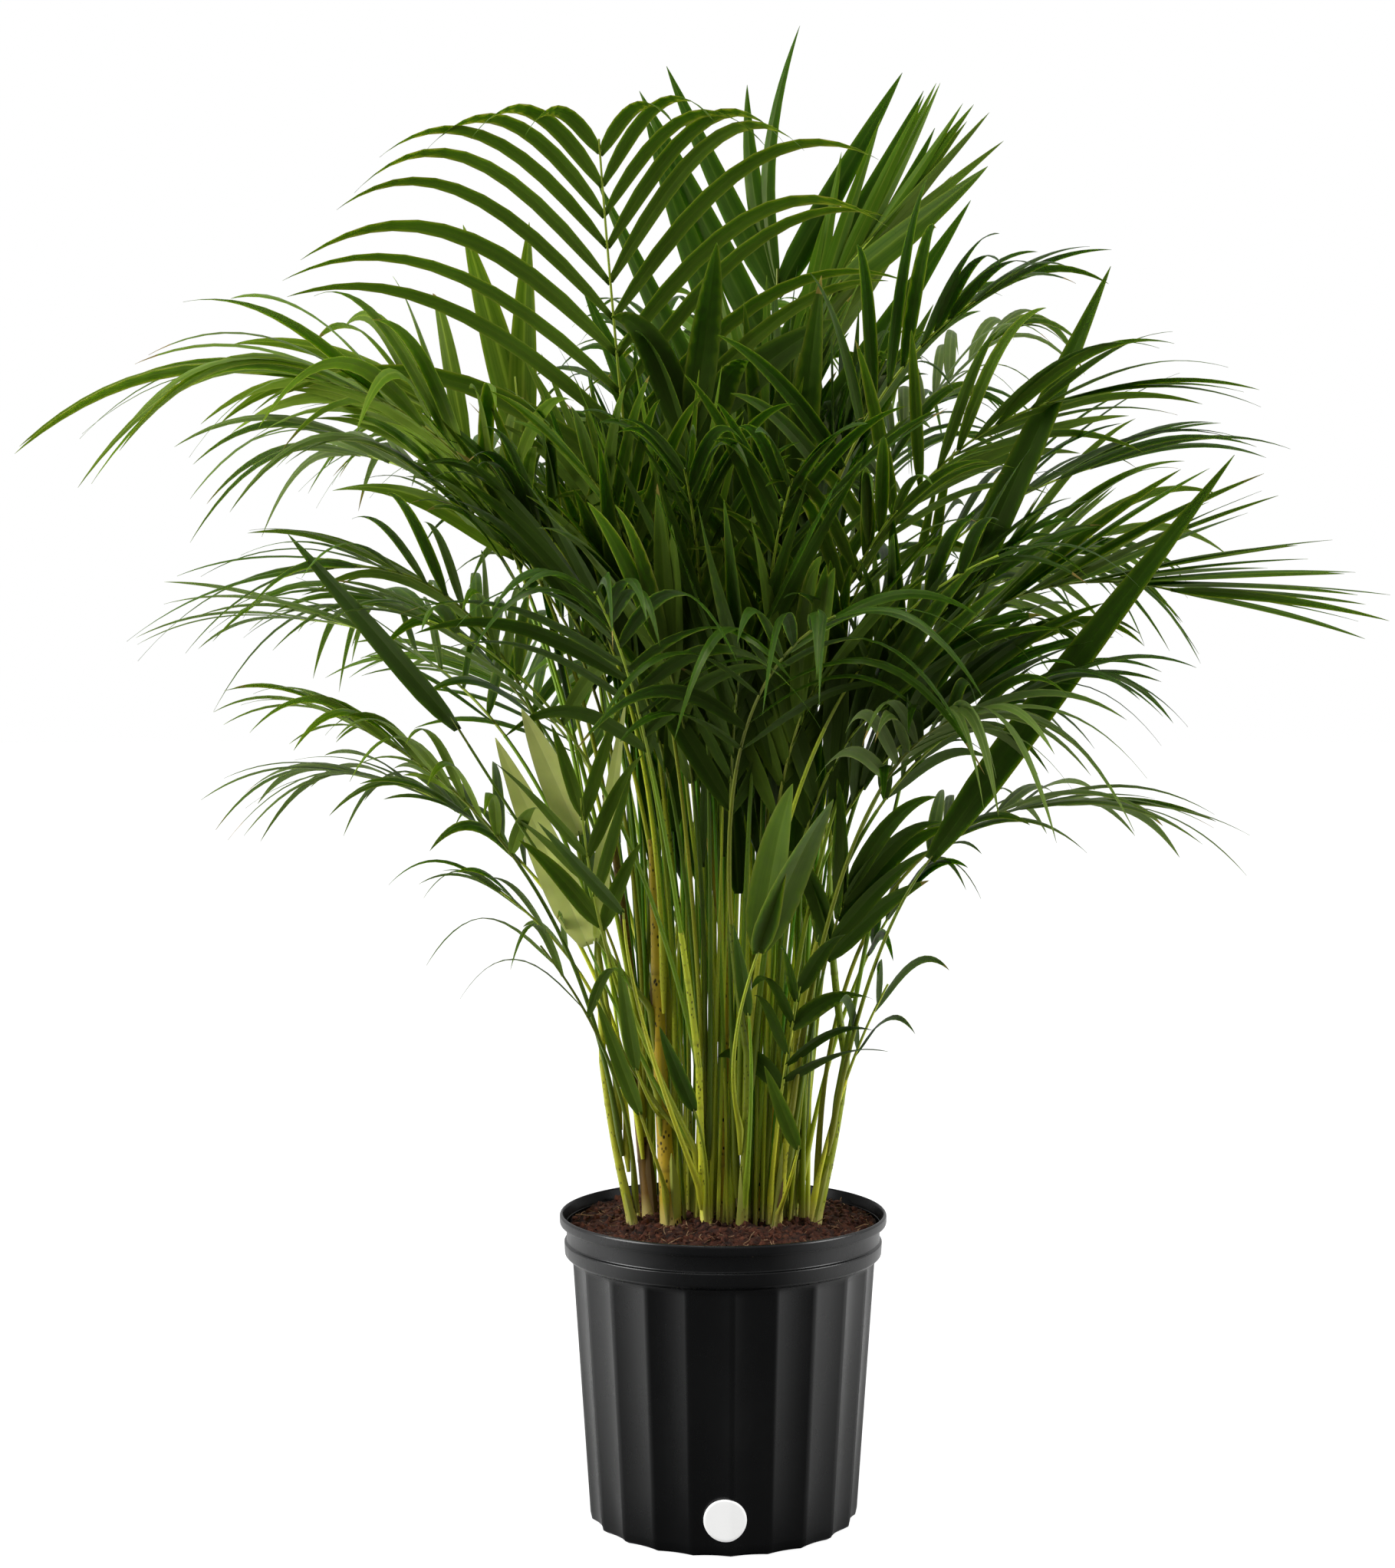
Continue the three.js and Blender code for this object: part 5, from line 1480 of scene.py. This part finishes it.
def label_place(across, height, lift):
    heading = math.radians(LABEL_HEADING) + across / body_radius(LABEL_CENTRE)
    share = ((math.degrees(heading) - FLUTE_PHASE) / (360 / FLUTES)) % 1
    press = LABEL_PRESS * FLUTE_DEPTH * math.sin(math.pi * share)
    radius = body_radius(LABEL_CENTRE + height) - press + lift
    return radius * math.sin(heading), -radius * math.cos(heading), LABEL_CENTRE + height


def label_side(lift):
    rings = []
    for ring in range(1, LABEL_RINGS + 1):
        reach = LABEL_RADIUS * ring / LABEL_RINGS
        for k in range(LABEL_POINTS):
            angle = 2 * math.pi * k / LABEL_POINTS
            rings.append(label_place(reach * math.cos(angle), reach * math.sin(angle), lift))
    return [label_place(0, 0, lift), *rings]


def label_faces():
    count = 1 + LABEL_RINGS * LABEL_POINTS
    turn = np.arange(LABEL_POINTS)
    after = (turn + 1) % LABEL_POINTS
    fan = np.stack([np.zeros_like(turn), 1 + turn, 1 + after], -1)
    quads = []
    for ring in range(LABEL_RINGS - 1):
        low = 1 + ring * LABEL_POINTS
        high = low + LABEL_POINTS
        quads.append(np.stack([low + turn, high + turn, high + after, low + after], -1))
    edge = 1 + (LABEL_RINGS - 1) * LABEL_POINTS
    sheet = np.concatenate(quads)
    side = np.stack([edge + turn, edge + after, count + edge + after, count + edge + turn], -1)
    return [fan, fan[:, ::-1] + count, sheet, sheet[:, ::-1] + count, side[:, ::-1]]


def label_material():
    paint, tree, shader = new_material("blank_paper", 0.42)
    place = tree.nodes.new("ShaderNodeTexCoord").outputs["Object"]
    fibre = noise(tree, place, 900.0, 3.0)
    white = mix_colour(tree, ramp(tree, fibre, 0.35, 0.7), screen(246, 246, 244), screen(236, 236, 233))
    tree.links.new(white, shader.inputs["Base Color"])
    bump(tree, shader, fibre, 0.0001, 0.3)
    # the paper's painted glow, which keeps it white in the dark front of the studio
    shader.inputs["Emission Color"].default_value = (1, 1, 1, 1)
    shader.inputs["Emission Strength"].default_value = LABEL_PAINTED_GLOW
    return paint


points = np.array(label_side(LABEL_LIFT + LABEL_THICKNESS) + label_side(LABEL_LIFT)) * MM
sticker = mesh_object("sticker", points, outward(points, label_faces()), [label_material()])
finish_piece(sticker, ["label"])


# %% [markdown]
# ## The peat
#
# The fill is dark red-brown peat: a lumpy bed with crumbs and fibres lying loose on it. The bed is a fine
# grid of rings raised by noise, heaped a few millimetres above the solid's flat top. Crumbs are scattered
# by Geometry Nodes over the bed, each an icosphere of few faces, turned and scaled at random, and made
# real at the end so that the export keeps them.

# %% Bed of peat
BED_RADIUS = 110.2
HEAPED = 2.6
MOUND = 2.5
MOUND_RADIUS = 80
# height and size of the lumps, coarse and fine
LUMPS = (3.6, 16.0)
FINE_LUMPS = (1.6, 3.2)
BED_CLEARANCE = 0.4
BED_RINGS = 56
BED_POINTS = 180


def bed_height(x, y):
    reach = math.hypot(x, y)
    mound = MOUND * max(0.0, 1 - (reach / MOUND_RADIUS) ** 2)
    lump = relief.fractal(Vector((x, y, 3.0)) / LUMPS[1], 0.7, 2.1, 4)
    fine = relief.noise(Vector((x, y, 9.0)) / FINE_LUMPS[1])
    return SOIL_HEIGHT + HEAPED + mound + LUMPS[0] * lump + FINE_LUMPS[0] * fine


def bed_wall():
    """Radius and height of the fill's side, from the top edge down to the middle of its underside."""
    inside = BODY_INSIDE - BED_CLEARANCE
    floor_inside = FLOOR_INSIDE - BED_CLEARANCE
    return [(BED_RADIUS, INNER_STEP + 5), (inside, INNER_STEP + 0.5), (floor_inside, CORNER_HEIGHT),
            (floor_inside - 2, FLOOR_THICKNESS + BED_CLEARANCE)]


def peat_bed(material):
    turn = np.arange(BED_POINTS) / BED_POINTS * 2 * math.pi
    reaches = BED_RADIUS * np.arange(1, BED_RINGS + 1) / BED_RINGS
    points = [(0.0, 0.0, bed_height(0, 0))]
    for reach in reaches:
        for angle in turn:
            x, y = reach * math.cos(angle), reach * math.sin(angle)
            points.append((x, y, bed_height(x, y)))
    for reach, height in bed_wall():
        points += [(reach * math.cos(angle), reach * math.sin(angle), height) for angle in turn]
    column = np.arange(BED_POINTS)
    after = (column + 1) % BED_POINTS
    fan = np.stack([np.zeros_like(column), 1 + column, 1 + after], -1)
    rings = BED_RINGS + len(bed_wall())
    low = 1 + BED_POINTS * np.arange(rings - 1)[:, None]
    high = low + BED_POINTS
    quads = np.stack([low + column, high + column, high + after, low + after], -1)
    foot = 1 + BED_POINTS * (rings - 1) + column[None, ::-1]
    points = np.array(points) * MM
    faces = outward(points, [fan, quads.reshape(-1, 4), foot])
    bed = mesh_object("peat_bed", points, faces, [material])
    top = np.arange(len(bed.data.polygons)) < BED_POINTS * (BED_RINGS - 1)
    layer = bed.data.attributes.new("top", "BOOLEAN", "FACE")
    layer.data.foreach_set("value", top)
    return bed


# %% A tree that scatters crumbs and fibres
def build_scatter_tree():
    tree = bpy.data.node_groups.new("Scatter loose bits", "GeometryNodeTree")
    tree.interface.new_socket("Geometry", in_out="INPUT", socket_type="NodeSocketGeometry")
    tree_input(tree, "Density", "NodeSocketFloat", 50000.0)
    tree_input(tree, "Smallest", "NodeSocketFloat", 0.4)
    tree_input(tree, "Largest", "NodeSocketFloat", 2.0)
    tree_input(tree, "Shape", "NodeSocketObject")
    tree_input(tree, "Seed", "NodeSocketInt", SEED)
    tree_input(tree, "Tilt", "NodeSocketFloat", math.pi)
    tree_input(tree, "Material", "NodeSocketMaterial")
    tree.interface.new_socket("Geometry", in_out="OUTPUT", socket_type="NodeSocketGeometry")
    given = tree.nodes.new("NodeGroupInput").outputs
    out = tree.nodes.new("NodeGroupOutput").inputs
    top = node(tree, "GeometryNodeInputNamedAttribute", dict(data_type="BOOLEAN"), Name="top")
    spread = node(tree, "GeometryNodeDistributePointsOnFaces", None, Mesh=given["Geometry"],
                  Selection=top.outputs["Attribute"], Density=given["Density"], Seed=given["Seed"])
    shape = node(tree, "GeometryNodeObjectInfo", None, Object=given["Shape"])
    turn = node(tree, "FunctionNodeRandomValue", dict(data_type="FLOAT_VECTOR"), Seed=given["Seed"])
    span = node(tree, "ShaderNodeCombineXYZ", None, X=given["Tilt"], Y=given["Tilt"])
    span.inputs["Z"].default_value = math.pi
    back = node(tree, "ShaderNodeVectorMath", dict(operation="SCALE"), i0=span.outputs[0])
    back.inputs["Scale"].default_value = -1.0
    tree.links.new(back.outputs[0], turn.inputs["Min"])
    tree.links.new(span.outputs[0], turn.inputs["Max"])
    size = node(tree, "FunctionNodeRandomValue", dict(data_type="FLOAT"))
    tree.links.new(given["Smallest"], size.inputs[2])
    tree.links.new(given["Largest"], size.inputs[3])
    placed = node(tree, "GeometryNodeInstanceOnPoints", None, Points=spread.outputs["Points"],
                  Instance=shape.outputs["Geometry"], Rotation=turn.outputs["Value"])
    tree.links.new(size.outputs[1], placed.inputs["Scale"])
    real = node(tree, "GeometryNodeRealizeInstances", None, Geometry=placed.outputs["Instances"])
    painted = node(tree, "GeometryNodeSetMaterial", None, Geometry=real.outputs["Geometry"],
                   Material=given["Material"])
    tree.links.new(painted.outputs["Geometry"], out["Geometry"])
    return tree


def crumb_shape():
    """A lump of twenty faces, flattened, with its corners pushed in and out."""
    lump = bmesh.new()
    bmesh.ops.create_icosphere(lump, subdivisions=1, radius=MM)
    for k, vertex in enumerate(lump.verts):
        vertex.co = vertex.co * (1 + 0.3 * chance(k, 31))
        vertex.co.z = vertex.co.z * 0.7
    mesh = bpy.data.meshes.new("crumb")
    lump.to_mesh(mesh)
    lump.free()
    return bpy.data.objects.new("crumb", mesh)


def fibre_shape():
    """A bent strand ten millimetres long, lying flat."""
    share = np.linspace(-1, 1, 6)
    path = np.stack([5 * share, 1.8 * np.sin(2.4 * share), 0.5 * share**2], -1)
    strand = lines_object("fibre", [(path, np.full(6, 0.22))])
    run_tree(strand, STEM_TREE, Sides=3, Step=0.0022, Ring_Spacing=1.0, Ring_Height=0.0)
    bpy.context.scene.collection.objects.unlink(strand)
    return strand


# %% Peat finish
def peat_material(name, dark, pale, scale):
    paint, tree, shader = new_material(name, 0.95)
    place = tree.nodes.new("ShaderNodeTexCoord").outputs["Object"]
    coarse = noise(tree, place, scale, 6.0, 0.7)
    fine = noise(tree, place, scale * 6, 3.0)
    brown = mix_colour(tree, ramp(tree, coarse, 0.38, 0.66), screen(*dark), screen(*pale))
    tree.links.new(brown, shader.inputs["Base Color"])
    bump(tree, shader, maths(tree, "ADD", coarse, maths(tree, "MULTIPLY", fine, 0.5)), 0.0015, 0.8)
    return paint


def scatter(name, shape, bed, material, **values):
    made = bpy.data.objects.new(name, bed.data.copy())
    bpy.context.scene.collection.objects.link(made)
    run_tree(made, SCATTER_TREE, Shape=shape, Material=material, **values)
    finish_piece(made)


SCATTER_TREE = build_scatter_tree()
bed = peat_bed(peat_material("peat", (28, 12, 8), (92, 48, 30), 120.0))
finish_piece(bed, ["soil"])
crumb = crumb_shape()
fibre = fibre_shape()
scatter("peat_crumbs", crumb, bed, peat_material("peat_crumb", (34, 15, 9), (112, 62, 40), 150.0),
        Density=42000.0, Smallest=0.6, Largest=3.4, Seed=SEED)
scatter("peat_fibres", fibre, bed, peat_material("peat_fibre", (130, 92, 60), (186, 152, 116), 200.0),
        Density=8000.0, Smallest=0.5, Largest=1.9, Tilt=0.5, Seed=SEED + 1)
for shape in (crumb, fibre):
    bpy.data.objects.remove(shape)
